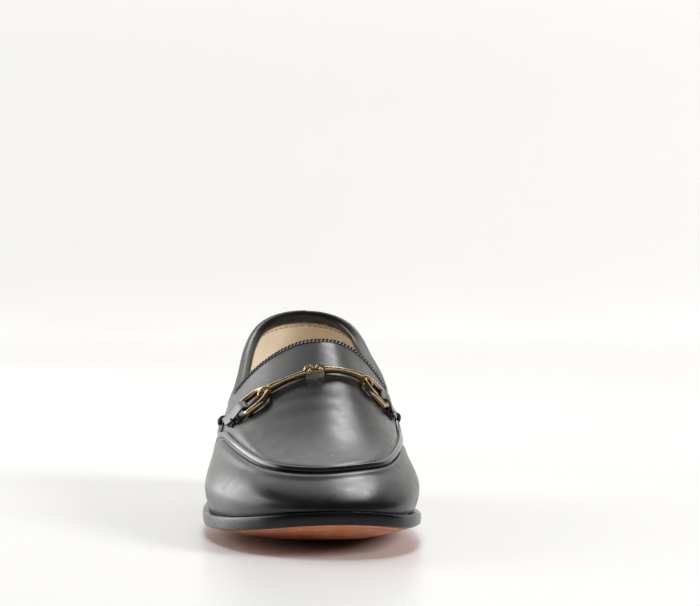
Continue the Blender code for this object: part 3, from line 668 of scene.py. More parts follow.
@dataclass
class Last:
    """The form that the shoe is made on, with the outsole's plan and heights."""

    length: float = 0.254
    ball_width: float = 0.0848
    heel_width: float = 0.0640
    instep_height: float = 0.0740
    clearance: float = 0.0003
    sole_thickness: float = 0.0048
    sole_camber: float = 0.0045
    toe_spring: float = 0.0106
    heel_height: float = 0.0165
    feather_inset: float = 0.0026
    belly: float = 0.0038
    belly_height: float = 0.0120
    toe_round: float = 0.0360
    heel_round: float = 0.0300
    collar_back: float = 0.0842
    collar_side: float = 0.0480
    toe_tip_across: float = 0.22
    heel_tip_across: float = 0.06
    sole: Array = field(init=False)
    feather: Array = field(init=False)
    normals: Array = field(init=False)
    sides: dict = field(init=False)

    def __post_init__(self) -> None:
        """Works out the closed plan loops once."""
        self.sole = self.sole_loop()
        self.feather, self.normals = self.inset(self.sole, self.feather_inset)
        self.sides = self.sides_of(self.feather)
        self.tip = float(self.feather[:, 0].min())
        self.back = float(self.feather[:, 0].max())

    def read(self, table: Sequence, column: int, along: Array) -> Array:
        """One column of a table of sections, at these places along."""
        rows = np.array(table)
        return natural_spline(rows[:, 0], rows[:, column], np.asarray(along) / self.length)

    def half_width(self, along: Array) -> Array:
        """Half width that the shares follow, from the ball's in front to the heel's behind."""
        back = smooth_step(along / self.length, 0.45, 0.80)
        return 0.5 * (self.ball_width * (1 - back) + self.heel_width * back)

    def sole_loop(self) -> Array:
        """The outsole's plan, closed, as (along, across) in metres."""
        rows = np.array(SOLE_OUTLINE)
        tip = [0, self.toe_tip_across]
        back = [1, self.heel_tip_across]
        loop = np.vstack([tip, rows[:, [0, 2]], back, rows[::-1, [0, 1]]])
        loop[:, 0] *= self.length
        loop[:, 1] *= self.half_width(loop[:, 0])
        wrapped = np.vstack([loop[-4:], loop, loop[:5]])
        run = run_of(wrapped)
        at = np.linspace(run[4], run[4 + len(loop)], 3001)[:-1]
        return np.stack([natural_spline(run, wrapped[:, k], at) for k in (0, 1)], axis=1)

    @staticmethod
    def inset(loop: Array, distance: float) -> tuple[Array, Array]:
        """A closed plan loop moved inwards, and its outward normals."""
        tangent = unit(np.roll(loop, -1, axis=0) - np.roll(loop, 1, axis=0))
        normal = np.stack([tangent[:, 1], -tangent[:, 0]], axis=1)
        if np.sum(normal * (loop - loop.mean(axis=0))) < 0:
            normal = -normal
        return loop - normal * distance, normal

    @staticmethod
    def sides_of(loop: Array) -> dict:
        """A closed plan loop as its lateral and medial sides, each from the toe tip to the back."""
        count = len(loop)
        tip, back = int(np.argmin(loop[:, 0])), int(np.argmax(loop[:, 0]))
        medial = loop[np.arange(tip, back + 1 + (count if back < tip else 0)) % count]
        lateral = loop[np.arange(back, tip + 1 + (count if tip < back else 0)) % count][::-1]
        return {Side.LATERAL: lateral, Side.MEDIAL: medial}

    def bottom_height(self, along: Array) -> Array:
        """Underside of the outsole on its centre line: toe spring, flat tread, rise to the heel."""
        share = along / self.length
        toe = self.toe_spring * np.clip(1 - share / 0.32, 0, None) ** 2
        return toe + self.heel_height * smooth_step(share, 0.40, 0.73)

    def camber(self, along: Array, level: Array | float, x: Array) -> Array:
        """Rise of the outsole's edges (level 1) over its middle (level 0)."""
        share = along / self.length
        size = self.sole_camber * (0.55 + 0.45 * smooth_step(share, 0.0, 0.22))
        size = size * (1 - smooth_step(share, 0.38, 0.60))
        front = smooth_step(share, 0.03, 0.15) * (1 - smooth_step(share, 0.12, 0.45))
        medial = smooth_step(x / self.half_width(along), 0.3, 1.0) * front
        return size * (1 + 0.35 * medial) * smooth_step(level, 0.30, 1.35) / smooth_step(1.0, 0.30, 1.35)

    def plan(self, along: Array, across: Array | float) -> Array:
        """(along, across) in metres for shares of the length and of the half width there."""
        along = np.asarray(along, float) * self.length
        lateral, medial = self.edges(along)
        return np.stack([along, (lateral + medial) / 2 + across * (medial - lateral) / 2], axis=-1)

    def edges(self, along: Array) -> list:
        """Lateral and medial feather edge at these places along."""
        return [np.interp(along, side[:, 0], side[:, 1]) for side in self.sides.values()]

    def share_across(self, along: Array, x: Array) -> Array:
        """Where a place lies across the form, from -1 to +1."""
        lateral, medial = self.edges(along)
        return np.clip((2 * x - lateral - medial) / np.maximum(medial - lateral, 1e-6), -1, 1)

    def seat(self, along: Array, x: Array) -> Array:
        """Height of the feather line, just over the outsole."""
        return self.bottom_height(along) + self.camber(along, 1.0, x) + self.sole_thickness + self.clearance

    def height(self, along: Array, x: Array) -> Array:
        """Height of the last: seat + (crest - seat) * body ^ roundness, closing in at toe and heel."""
        across = self.share_across(along, x)
        fade = 0.2 * self.length
        inside = smooth_step(along, self.tip, self.tip + fade)
        inside = inside * smooth_step(-along, -self.back, fade - self.back)
        leaned = across - self.read(CREST, 2, along) * inside * (1 - across**2)
        toe = np.clip((self.tip + self.toe_round - along) / self.toe_round, 0, 1)
        heel = np.clip((along - self.back + self.heel_round) / self.heel_round, 0, 1)
        body = np.clip((1 - leaned**2) * (1 - toe**2) * (1 - heel**2), 0, 1)
        seat = self.seat(along, x)
        crest = self.read(CREST, 1, along) * self.instep_height
        return seat + (crest - seat) * body ** self.read(CREST, 3, along)

    def skin(self, plan: Array, outward: Array) -> Array:
        """Points of the outer face over places in plan, swollen outwards low on the sides."""
        along, x = plan[..., 0], plan[..., 1]
        height = self.height(along, x)
        above = np.maximum(height - self.seat(along, x), 0)
        medial = 0.5 + 0.5 * self.share_across(along, x)
        size = self.belly * (self.read(SWELL, 1, along) * (1 - medial) + self.read(SWELL, 2, along) * medial)
        rise = np.sin(0.5 * np.pi * np.clip(above / self.belly_height, 0, 1))
        reach = self.read(SWELL, 3, along) * self.instep_height
        fall = np.clip((above - self.belly_height) / reach, 0, 1)
        size = size * rise * (1 - fall * fall * (3 - 2 * fall))
        moved = plan + outward * size[..., None]
        return np.stack([moved[..., 1], moved[..., 0] - self.length / 2, height], axis=-1)

    def collar_height(self, side: Side, along: Array) -> Array:
        """Height of one side's collar edge over these places along."""
        column = 1 if side is Side.LATERAL else 2
        return self.collar_side + (self.collar_back - self.collar_side) * self.read(COLLAR, column, along)


@dataclass
class UpperForm:
    """Ribs up the last from the feather line through the apron seam to the crest or the opening.

    Rib numbers run from 0 at the toe tip to 'ribs' at the back, and may be fractions.
    """

    last: Last
    ribs: int = 48
    throat_rib: int = 18
    corner_rib: int = 28
    seam_end_rib: int = 24
    crest_across: float = 0.18
    crest_start: float = 0.165

    def spine(self, numbers: Array) -> Array:
        """Plan points of the centre line that the ribs run to."""
        rise = numbers / self.throat_rib
        start, top = self.crest_start, THROAT[0][0]
        rest = np.clip((numbers - self.throat_rib) / (self.ribs - self.throat_rib), 0, 1)
        end = (self.last.back - self.last.heel_round) / self.last.length
        along = np.where(rise < 1, start + (top - start) * rise, top + (end - top) * rest**0.85)
        return self.last.plan(along, self.crest_across * (1 - smooth_step(along, 0.55, 0.80)))

    def feet(self, side: Side, numbers: Array) -> tuple[Array, Array]:
        """Where ribs start on the feather line, and their outward directions."""
        foot = resample(self.last.sides[side], numbers / self.ribs)
        gaps = np.linalg.norm(self.last.feather[None] - foot[:, None], axis=2)
        return foot, self.last.normals[np.argmin(gaps, axis=1)]

    def collar_places(self, side: Side, numbers: Array) -> Array:
        """Where ribs reach the collar's height, in plan."""
        foot, _ = self.feet(side, numbers)
        spine = self.spine(numbers)
        shares = np.linspace(0, 1, 900) ** 3
        plan = foot[:, None] + (spine - foot)[:, None] * shares[None, :, None]
        short = self.last.height(plan[..., 0], plan[..., 1]) - self.last.collar_height(side, plan[..., 0])
        k = np.maximum(np.argmax(short >= 0, axis=1), 1)
        row = np.arange(len(numbers))
        low, high = short[row, k - 1], short[row, k]
        part = np.clip(-low / np.where(high - low > 1e-9, high - low, 1), 0, 1)
        return plan[row, k - 1] + (plan[row, k] - plan[row, k - 1]) * part[:, None]

    def cross_section(self, side: Side, along: float) -> tuple[Array, Array, Array]:
        """Section straight across, feather edge to crest: plan places, heights, shares of its length."""
        across = side.value + (self.crest_across - side.value) * np.linspace(0, 1, 300) ** 2
        plan = self.last.plan(np.full(len(across), along / self.last.length), across)
        height = np.maximum.accumulate(self.last.height(plan[:, 0], plan[:, 1]))
        run = run_of(np.stack([plan[:, 1], height], axis=1))
        return plan, height, run / run[-1]

    def throat_curve(self, side: Side) -> tuple[Array, Array]:
        """The throat edge in plan from the crest to the collar's corner, and the length run along it."""
        last = self.last
        collar = self.collar_places(side, np.arange(self.corner_rib, self.corner_rib + 4.0))
        columns = (0, 1) if side is Side.LATERAL else (2, 3)
        rows = np.array(THROAT)[:, columns]
        knots = [(along * last.length, height * last.instep_height) for along, height in rows]
        knots += [(place[0], float(last.collar_height(side, place[0]))) for place in collar]
        climbs = [1.0]
        for along, height in knots[1:]:
            _, heights, shares = self.cross_section(side, along)
            climbs.append(float(np.interp(height, heights, shares)))
        scaled = [(along / last.instep_height, climb) for (along, _), climb in zip(knots, climbs)]
        plan = []
        for along, climb in curve_through(scaled):
            places, _, shares = self.cross_section(side, along * last.instep_height)
            plan.append(read_at(climb, shares, places))
        plan = np.array(plan)
        corner = int(np.argmin(np.linalg.norm(plan - collar[0], axis=1)))
        plan = np.vstack([plan[:corner], collar[0]])
        return plan, run_of(np.column_stack([plan, last.height(plan[:, 0], plan[:, 1])]))

    def tops(self, side: Side, numbers: Array) -> Array:
        """Plan places where the ribs end: the crest, then the throat edge, then the collar."""
        made = self.spine(numbers)
        throat = (numbers >= self.throat_rib) & (numbers <= self.corner_rib)
        edge, run = self.throat_curve(side)
        at = (numbers[throat] - self.throat_rib) / (self.corner_rib - self.throat_rib) * run[-1]
        made[throat] = read_at(at, run, edge)
        behind = numbers > self.corner_rib
        made[behind] = self.collar_places(side, numbers[behind])
        return made

    def seam_curve(self, side: Side) -> Array:
        """The apron seam in plan, from its front to its end on one side."""
        rows = np.array(SEAM)
        curve = curve_through(self.last.plan(rows[:, 0], rows[:, 1]), 1200)
        front = np.argmin(np.linalg.norm(curve - self.last.plan(*rows[SEAM_FRONT_ROW]), axis=1))
        return curve[front::-1] if side is Side.LATERAL else curve[front:]

    def guides(self, side: Side, numbers: Array) -> tuple[Array, Array, Array, Array]:
        """Feet, seam places, tops and outward directions of the ribs, in plan."""
        foot, outward = self.feet(side, numbers)
        top = self.tops(side, numbers)
        end = float(self.seam_end_rib)
        seam = resample(self.seam_curve(side), np.clip(numbers / end, 0, 1))
        last_foot, _ = self.feet(side, np.array([end]))
        last_top = self.tops(side, np.array([end]))
        start = np.linalg.norm(seam[-1] - last_foot[0]) / np.linalg.norm(last_top[0] - last_foot[0])
        share = start + (0.30 - start) * smooth_step((numbers - end) / 8.0, 0, 1)
        behind = numbers > end
        aside = seam[-1] - (last_foot[0] + (last_top[0] - last_foot[0]) * start)
        kept = 1 - smooth_step(numbers - end, 0, 4)
        line = foot + (top - foot) * share[:, None] + aside * kept[:, None]
        seam[behind] = line[behind]
        return foot, seam, top, outward

    def grid(self, side: Side, numbers: Array, wall: Array, crown: Array) -> Array:
        """Outer face of one side.

        Args:
            side: which side.
            numbers: rib numbers.
            wall: shares of each rib's length from the feather line to the seam.
            crown: shares from the seam to the top, without the seam itself.

        Returns:
            (ribs, levels, 3) points.
        """
        foot, seam, top, outward = self.guides(side, numbers)
        fine = np.linspace(0, 1, 300)
        low = foot[:, None] + (seam - foot)[:, None] * (fine**3)[None, :, None]
        high = seam[:, None] + (top - seam)[:, None] * fine[None, :, None]
        closed = 1 - smooth_step(numbers, self.throat_rib - 4, self.throat_rib)
        meet = (closed[:, None] * smooth_step(fine, 0.0, 1.0))[..., None]
        other = Side.MEDIAL if side is Side.LATERAL else Side.LATERAL
        shared = (outward + self.feet(other, numbers)[1]) / 2
        low = self.last.skin(low, outward[:, None])
        high = self.last.skin(high, outward[:, None] * (1 - meet) + shared[:, None] * meet)
        return np.array([np.vstack([resample(a, wall), resample(b, crown)]) for a, b in zip(low, high)])


@dataclass
class Upper:
    """The calf upper: its shell, apron seam, lining, facing and edge stitching."""

    form: UpperForm
    rib_steps: int = 3
    wall_columns: int = 34
    crown_columns: int = 34
    thickness: float = 0.0018
    edge_round: float = 0.0007
    facing_depth: float = 0.0055
    lining_gap: float = 0.0001
    lining_thickness: float = 0.0006
    piping_width: float = 0.0027
    piping_height: float = 0.0014
    roll_rib: float = 25.0
    roll_flank: float = 0.38
    lining_dent: float = 0.0010
    lining_dent_spread: float = 0.0060
    # Pitch, length and thickness of the stitches
    lining_stitch: tuple = (0.0025, 0.0019, 0.00045)
    throat_stitch: tuple = (0.0016, 0.0017, 0.0011)
    # The second row at the throat is light grey: a painted highlight on the black stitching
    throat_highlight_dash: tuple = (0.0016, 0.0014, 0.0006)
    stitch_slant: float = 0.6
    grids: dict = field(init=False)
    outs: dict = field(init=False)
    reliefs: dict = field(init=False)

    def __post_init__(self) -> None:
        """Works out both sides' grids of points and outward normals."""
        form = self.form
        self.numbers = np.linspace(0, form.ribs, form.ribs * self.rib_steps + 1)
        wall = 1 - (1 - np.linspace(0, 1, self.wall_columns + 1)) ** 1.6
        crown = np.linspace(0, 1, self.crown_columns + 1)[1:] ** 1.5
        self.grids = {side: form.grid(side, self.numbers, wall, crown) for side in Side}
        crest = self.numbers <= form.throat_rib
        self.halves(list(self.grids.values()), crest)
        self.outs = {}
        self.reliefs = {}
        for side, grid in self.grids.items():
            normal = grid_normals(grid)
            self.outs[side] = normal if side is Side.LATERAL else -normal
            if np.median(self.outs[side][10:40, -5, 2]) < 0:
                self.outs[side] = -self.outs[side]
        self.join_normals(crest)

    @staticmethod
    def halves(grids: list, crest: Array) -> list:
        """The two sides' points and outward faces, the medial side welded to the lateral one.

        Args:
            grids: lateral and medial grid of points. The medial one is changed in place.
            crest: which ribs end on the crest, where the sides meet.

        Returns:
            A set of points and faces for each side.
        """
        lateral, medial = grids
        medial[0], medial[-1] = lateral[0], lateral[-1]
        medial[crest, -1] = lateral[crest, -1]
        faces = quads(*lateral.shape[:2])
        return [(lateral, faces[:, ::-1]), (medial, faces)]

    def join_normals(self, crest: Array) -> None:
        """Averages the normals where the two sides meet, at the toe rib, the back rib and the crest.

        The relief of the seam and the creases is then laid along the normals.
        """
        lateral, medial = self.outs[Side.LATERAL], self.outs[Side.MEDIAL]
        for place in ((0, slice(None)), (-1, slice(None)), (crest, -1)):
            shared = unit(lateral[place] + medial[place])
            lateral[place] = shared
            medial[place] = shared
        lateral[0, -1] = medial[0, -1] = lateral[0, -3]
        for side, grid in self.grids.items():
            height = self.seam_relief(grid) + self.crease_relief(grid)
            self.reliefs[side] = height[..., None] * self.outs[side]

    def seam_run(self, grid: Array) -> Array:
        """Distance up each rib from the seam, less than zero below it."""
        steps = np.linalg.norm(np.diff(grid, axis=1), axis=2)
        run = np.concatenate([np.zeros((len(grid), 1)), np.cumsum(steps, axis=1)], axis=1)
        return run - run[:, self.wall_columns][:, None]

    def seam_relief(self, grid: Array) -> Array:
        """Height of the shell's relief: a bell of the distance from the seam for each row of its table."""
        run = self.seam_run(grid) * 1000
        relief = 0.001 * sum(height * bell(run, place, spread) for place, spread, height in SEAM_RELIEF)
        fade = 1 - smooth_step(self.numbers, self.form.seam_end_rib - 1.0, self.form.seam_end_rib + 1.5)
        return relief * fade[:, None]

    def crease_relief(self, grid: Array) -> Array:
        """Soft troughs with a ridge before each: depth * (bell - half a bell further on), faded across."""
        along = (grid[..., 1] + self.form.last.length / 2) * 1000
        x = grid[..., 0] * 1000
        relief = np.zeros(along.shape)
        for place, lean, bow, reach, depth, width in CREASES:
            off = along - place - lean * x - bow * (x / reach) ** 2
            trough = bell(off, 0.0, width) - 0.5 * bell(off, -1.6 * width, width)
            relief -= 0.001 * depth * trough * np.exp(-((x / reach) ** 4))
        return relief

    def build_shell(self, calf: Material) -> None:
        """The shell: the outer face with the seam's relief, thickened inwards, its edge rounded."""
        points = [self.grids[side] + self.reliefs[side] for side in Side]
        parts = self.halves(points, self.numbers <= self.form.throat_rib)
        piece = make_piece("upper_shell", parts, [calf], closed=False)
        wall = piece.modifiers.new("wall", "SOLIDIFY")
        wall.thickness = self.thickness
        wall.offset = -1.0
        edge = piece.modifiers.new("edge", "BEVEL")
        edge.width = self.edge_round
        edge.segments = 3
        edge.limit_method = "ANGLE"
        edge.angle_limit = math.radians(55)
        publish(piece, "black_calf", "upper")

    def round_rows(self, picked: Array) -> list:
        """(side, row) of the picked ribs, back to front on the lateral side and then to the back again."""
        rows = np.flatnonzero(picked)
        return [(Side.LATERAL, row) for row in rows[::-1]] + [(Side.MEDIAL, row) for row in rows[1:]]

    def from_top(self, side: Side, row: int) -> tuple[Array, Array, Array]:
        """A rib's points and outward directions from its top down, and the length run there."""
        line = self.grids[side][row][::-1]
        return line, self.outs[side][row][::-1], run_of(line)

    def rim(self, depth: float, lift: float) -> tuple[Array, Array]:
        """A path round the opening.

        Args:
            depth: distance down from the edge.
            lift: distance out from the outer face, or in where negative.

        Returns:
            Points from the back round the lateral side, the throat and the medial side to the back,
            and the outward directions there.
        """
        points, ups = [], []
        for side, row in self.round_rows(self.numbers >= self.form.throat_rib):
            line, out, run = self.from_top(side, row)
            points.append(read_at(depth, run, line))
            ups.append(read_at(depth, run, out))
        ups = unit(np.array(ups))
        return np.array(points) + ups * lift, ups

    def build_lining(self, gold: Material, thread: Material) -> None:
        """Gold lining inside the shell, its top edge a facing's depth under the collar."""
        sides = []
        inward = self.thickness + self.lining_gap
        levels = np.linspace(0.02, 1, 26)
        fade = 1 - smooth_step(self.numbers, self.form.seam_end_rib - 1.0, self.form.seam_end_rib + 4.0)
        for side, grid in self.grids.items():
            lines = []
            dent = self.lining_dent * bell(self.seam_run(grid), 0.0, self.lining_dent_spread)
            room = inward + dent * fade[:, None]
            for row, number in enumerate(self.numbers[::2]):
                line = grid[row * 2] - self.outs[side][row * 2] * room[row * 2][:, None]
                run = run_of(line)
                open_top = smooth_step(number, self.form.throat_rib - 1.0, self.form.throat_rib)
                lines.append(read_at(levels * (run[-1] - self.facing_depth * open_top), run, line))
            sides.append(np.array(lines))
        parts = self.halves(sides, self.numbers[::2] <= self.form.throat_rib)
        piece = make_piece("gold_lining", parts, [gold], closed=False)
        body = piece.modifiers.new("thickness", "SOLIDIFY")
        body.thickness = self.lining_thickness
        body.offset = 1.0
        publish(piece, "lining_leather")
        path, ups = self.rim(self.facing_depth + 0.0016, -(inward + self.lining_thickness + 0.0001))
        rows = stitch_rows(path, -ups, *self.lining_stitch)
        publish(make_piece("lining_stitches", rows, [thread]), "lining_leather")

    def build_collar_roll(self, calf: Material) -> None:
        """Padded roll over the collar's edge: a closed loop of (depth, inward) places at each rib."""
        loop = curve_through(COLLAR_ROLL + COLLAR_ROLL[:1], 45)[:-1] * 0.001
        sections = []
        for side in Side:
            rows = np.flatnonzero(self.numbers >= self.roll_rib)
            rows = rows[::-1] if side is Side.MEDIAL else rows[:-1]
            for row in rows:
                line, out, run = self.from_top(side, row)
                number = self.numbers[row]
                size = 0.35 + 0.65 * float(smooth_step(number, self.roll_rib, self.roll_rib + 3.0))
                flank = 1 + self.roll_flank * (1 - float(smooth_step(number, 38.0, 47.0)))
                depth, inward = loop[:, 0] * size, loop[:, 1] * (0.5 + 0.5 * size) * flank
                at = np.maximum(depth, 0)
                normal = unit(read_at(at, run, out))
                over = np.maximum(-depth, 0)[:, None] * unit(line[0] - line[2])
                gathers = 0.05 * math.sin(number * 14.0) * bell(number, self.form.ribs - 1.6, 1.6)
                seam = 1 - 0.20 * bell(number, self.form.ribs, 0.22) + gathers
                sections.append(read_at(at, run, line) + over - normal * (inward * seam)[:, None])
        grid = np.array(sections)
        roll = publish(make_piece("collar_roll", [(grid, tube_faces(*grid.shape[:2]))], [calf]), "black_calf")

    def build_edge_stitches(self, dark: Material, stitch_highlight: Material) -> None:
        """Slanted stitches over the throat's edge, which make it bumpy, and short light grey strokes under
        them that are a painted highlight on the black stitching.
        """
        throat, ups = [], []
        for side, row in self.round_rows(
            (self.numbers >= self.form.throat_rib) & (self.numbers <= self.roll_rib + 0.5)
        ):
            line, out, run = self.from_top(side, row)
            throat.append(read_at(np.array([0.0001, 0.0013]), run, line))
            ups.append(read_at(0.0006, run, out))
        ups = unit(np.array(ups))
        path = np.array(throat) + ups[:, None] * 0.0002
        bumps = stitch_rows(path[:, 0], ups, *self.throat_stitch, self.stitch_slant)
        # The light grey row is a painted highlight on the black stitches above it
        highlight_dashes = stitch_rows(path[:, 1], ups, *self.throat_highlight_dash, self.stitch_slant)
        publish(make_piece("throat_stitches", bumps + highlight_dashes, [dark, stitch_highlight], [0, 1]), "black_calf")

    def seam_path(self) -> tuple[Array, Array]:
        """Points along the apron seam and their outward directions."""
        k = self.wall_columns
        rows = self.round_rows(self.numbers <= self.form.seam_end_rib + 0.7)
        points = np.array([self.grids[side][row, k] for side, row in rows])
        return points, unit(np.array([self.outs[side][row, k] for side, row in rows]))

    def build_piping(self, calf: Material) -> None:
        """Smooth rolled bead along the apron seam: a flat-bottomed oval carried along it."""
        points, ups = self.seam_path()
        turns = np.linspace(0, 2 * math.pi, 19)[:-1]
        height = np.where(np.sin(turns) > 0, self.piping_height, 0.35 * self.piping_height)
        profile = np.stack([0.5 * self.piping_width * np.cos(turns), height * np.sin(turns)], axis=1)
        share = np.linspace(0, 1, len(points))
        ends = np.minimum(smooth_step(share, 0, 0.03), smooth_step(1 - share, 0, 0.03))
        sizes = np.stack([0.35 + 0.65 * ends, 0.25 + 0.75 * ends], axis=1)
        body = sweep(path_frames(points + ups * 0.0001, ups), profile, sizes)
        publish(make_piece("apron_roll", [body], [calf]), "black_calf", "apron_piping")


@dataclass
class Bottom:
    """Outsole, insole and stacked heel."""

    last: Last
    bevel: float = 0.0007
    stations: int = 220
    stitch_inset: float = 0.0046
    groove_depth: float = 0.0005
    groove_width: float = 0.0007
    camber_reach: float = 0.036
    # Pitch, length and thickness of the stitches
    channel_stitch: tuple = (0.0030, 0.0024, 0.0006)
    heel_length: float = 0.0640
    heel_inset: float = 0.0008
    heel_taper: float = 0.0015
    lift_thickness: float = 0.0052
    breast_hollow: float = 0.0030
    layers: int = 3
    joint_width: float = 0.00018
    joint_depth: float = 0.00016

    def rings(self, distances: Array) -> list:
        """Plan loops of the outsole moved inwards by these distances, both sides from tip to back."""
        shares = np.linspace(0, 1, self.stations + 1)
        made = []
        for distance in distances:
            loop, _ = self.last.inset(self.last.sole, float(distance))
            sides = self.last.sides_of(loop)
            lateral = resample(sides[Side.LATERAL], shares)
            medial = resample(sides[Side.MEDIAL], shares)
            made.append(np.vstack([medial, lateral[-2:0:-1]]))
        return made

    def placed(self, loop: Array, level: Array | float, lift: Array | float) -> Array:
        """Points of a plan loop at a level of the camber, 'lift' over the outsole's underside."""
        along, x = loop[:, 0], loop[:, 1]
        height = self.last.bottom_height(along) + self.last.camber(along, level, x) + lift
        return np.stack([x, along - self.last.length / 2, height], axis=1)

    def inner_rings(self, loop: Array, count: int, lift: float) -> Array:
        """Loops from an edge loop in to a spine, for a face of the outsole."""
        low = loop[:, 0].min() + self.last.toe_round
        high = loop[:, 0].max() - self.last.heel_round
        station = np.arange(self.stations + 1) / self.stations
        target_along = low + (high - low) * np.concatenate([station, station[-2:0:-1]])
        lateral, medial = self.last.edges(target_along)
        target = np.stack([target_along, (lateral + medial) / 2], axis=1)
        rows = []
        for level in np.linspace(1, 0, count + 1)[1:]:
            rows.append(self.placed(target + (loop - target) * level, level, lift))
        return np.array(rows)

    def build_outsole(self, tan: Material, paint: Material) -> None:
        """Outsole: tan underside with a stitched channel, black edge and top, corners eased."""
        thick = self.last.sole_thickness
        inset, width = self.stitch_inset, self.groove_width
        under_steps = [self.bevel, 0.0014, 0.0024, inset - width, inset - width / 2, inset, inset + width / 2]
        under_steps += [inset + width, inset + 2.2 * width]
        depth = {inset - width / 2: 0.75, inset: 1.0, inset + width / 2: 0.75}
        rings = self.rings(np.array(under_steps))
        under = [
            self.placed(ring, 1.0 - step / self.camber_reach, self.groove_depth * depth.get(step, 0.0))
            for ring, step in zip(rings, under_steps)
        ]
        inner = self.inner_rings(rings[-1], 10, 0.0)
        base = 1.0 - under_steps[-1] / self.camber_reach
        inner_levels = np.linspace(1, 0, 11)[1:]
        inner = np.array([self.relevel(row, level, level * base) for row, level in zip(inner, inner_levels)])
        under_grid = np.concatenate([inner[::-1], np.array(under)[::-1]])
        edge_shape = [(self.bevel, 0.0), (0.25 * self.bevel, 0.25 * self.bevel), (0.0, self.bevel)]
        edge_shape += [(-0.00012, 0.5 * thick), (0.0, thick - self.bevel)]
        edge_shape += [(0.25 * self.bevel, thick - 0.25 * self.bevel), (self.bevel, thick), (0.0040, thick)]
        edge_rings = self.rings(np.array([step for step, _ in edge_shape]))
        edge = np.array([self.placed(ring, 1.0, lift) for ring, (_, lift) in zip(edge_rings, edge_shape)])
        edge[0] = under_grid[-1]
        over_inner = self.inner_rings(edge_rings[-1], 6, thick)
        over = np.concatenate([edge[-1:], over_inner])
        sets = [(grid, quads(*grid.shape[:2], False, True)) for grid in (under_grid, edge, over)]
        piece = make_piece("outsole_dressed", sets, [tan, paint], [0, 1, 1])
        publish(piece, "sole_leather", "outsole")

    def relevel(self, row: Array, level: float, wanted: float) -> Array:
        """Moves a row's heights from one level of the camber to another."""
        along, x = row[:, 1] + self.last.length / 2, row[:, 0]
        change = self.last.camber(along, wanted, x) - self.last.camber(along, level, x)
        return row + np.stack([np.zeros(len(row)), np.zeros(len(row)), change], axis=1)

    def build_stitches(self, thread: Material) -> None:
        """Stitches sunk in the channel of the outsole, round the forepart and waist."""
        ring = self.rings(np.array([self.stitch_inset]))[0]
        front = ring[:, 0] < self.last.length - self.heel_length - 0.002
        path = self.placed(ring, 1.0 - self.stitch_inset / self.camber_reach, 0.0002)
        start = int(np.argmax(~front))
        order = np.roll(np.arange(len(ring)), -start)
        path = path[order][front[order]]
        ups = np.tile([0.0, 0.0, -1.0], (len(path), 1))
        rows = stitch_rows(path, ups, *self.channel_stitch)
        publish(make_piece("outsole_stitches", rows, [thread]), "sole_leather")

    def heel_loop(self, reach: float) -> Array:
        """Plan of the heel: the back of the outsole drawn in, closed by a hollowed breast."""
        loop, _ = self.last.inset(self.last.sole, self.heel_inset + reach)
        sides = self.last.sides_of(loop)
        front = self.last.length - self.heel_length + reach
        lateral, medial = (sides[side][sides[side][:, 0] > front] for side in Side)
        start = np.array([front, np.interp(front, *sides[Side.LATERAL].T)])
        end = np.array([front, np.interp(front, *sides[Side.MEDIAL].T)])
        across = np.linspace(-1, 1, 31)[:, None]
        breast = (start + end) / 2 + across * (end - start) / 2
        breast[:, 0] += self.breast_hollow * (1 - across[:, 0] ** 2)
        back = np.vstack([end, medial, lateral[::-1], start])
        return np.vstack([breast, resample(back, np.linspace(0, 1, 171))[1:-1]])

    def heel_body(self, low: float, high: float, bevel: float, layers: int) -> Body:
        """A block of the heel whose wall has a fine groove at each layer's joint."""
        top = self.last.heel_height
        shape = [(low, 1.6 * bevel), (low + 0.3 * bevel, 0.5 * bevel), (low + bevel, 0.0)]
        groove = ((-self.joint_width, 0.0), (0.0, self.joint_depth), (self.joint_width, 0.0))
        for joint in np.linspace(low, high, layers + 1)[1:-1]:
            shape += [(joint + aside, depth) for aside, depth in groove]
        shape += [(high - bevel, 0.0), (high - 0.3 * bevel, 0.5 * bevel), (high, 1.6 * bevel)]
        rows = []
        for height, reach in shape:
            loop = self.heel_loop(self.heel_taper * (1 - height / top) + reach)
            flat = np.full(len(loop), height)
            rows.append(np.stack([loop[:, 1], loop[:, 0] - self.last.length / 2, flat], axis=1))
        grid = np.array(rows)
        return grid.reshape(-1, 3), tube_faces(*grid.shape[:2])

    def build_heel(self, stack: Material, rubber: Material) -> None:
        """Stacked block and top lift."""
        gap = self.last.clearance
        lift = self.heel_body(0.0, self.lift_thickness, 0.0005, 1)
        publish(make_piece("top_lift_dressed", [lift], [rubber]), "lift_rubber", "heel_top_lift")
        block = self.heel_body(self.lift_thickness + gap, self.last.heel_height - gap, 0.0002, self.layers)
        publish(make_piece("heel_stack_dressed", [block], [stack]), "heel_leather", "heel_stack")

    def dress_insole(self, gold: Material) -> None:
        """The insole's solid stays and takes the lining's finish."""
        for node_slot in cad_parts["insole"].material_slots:
            node_slot.material = gold


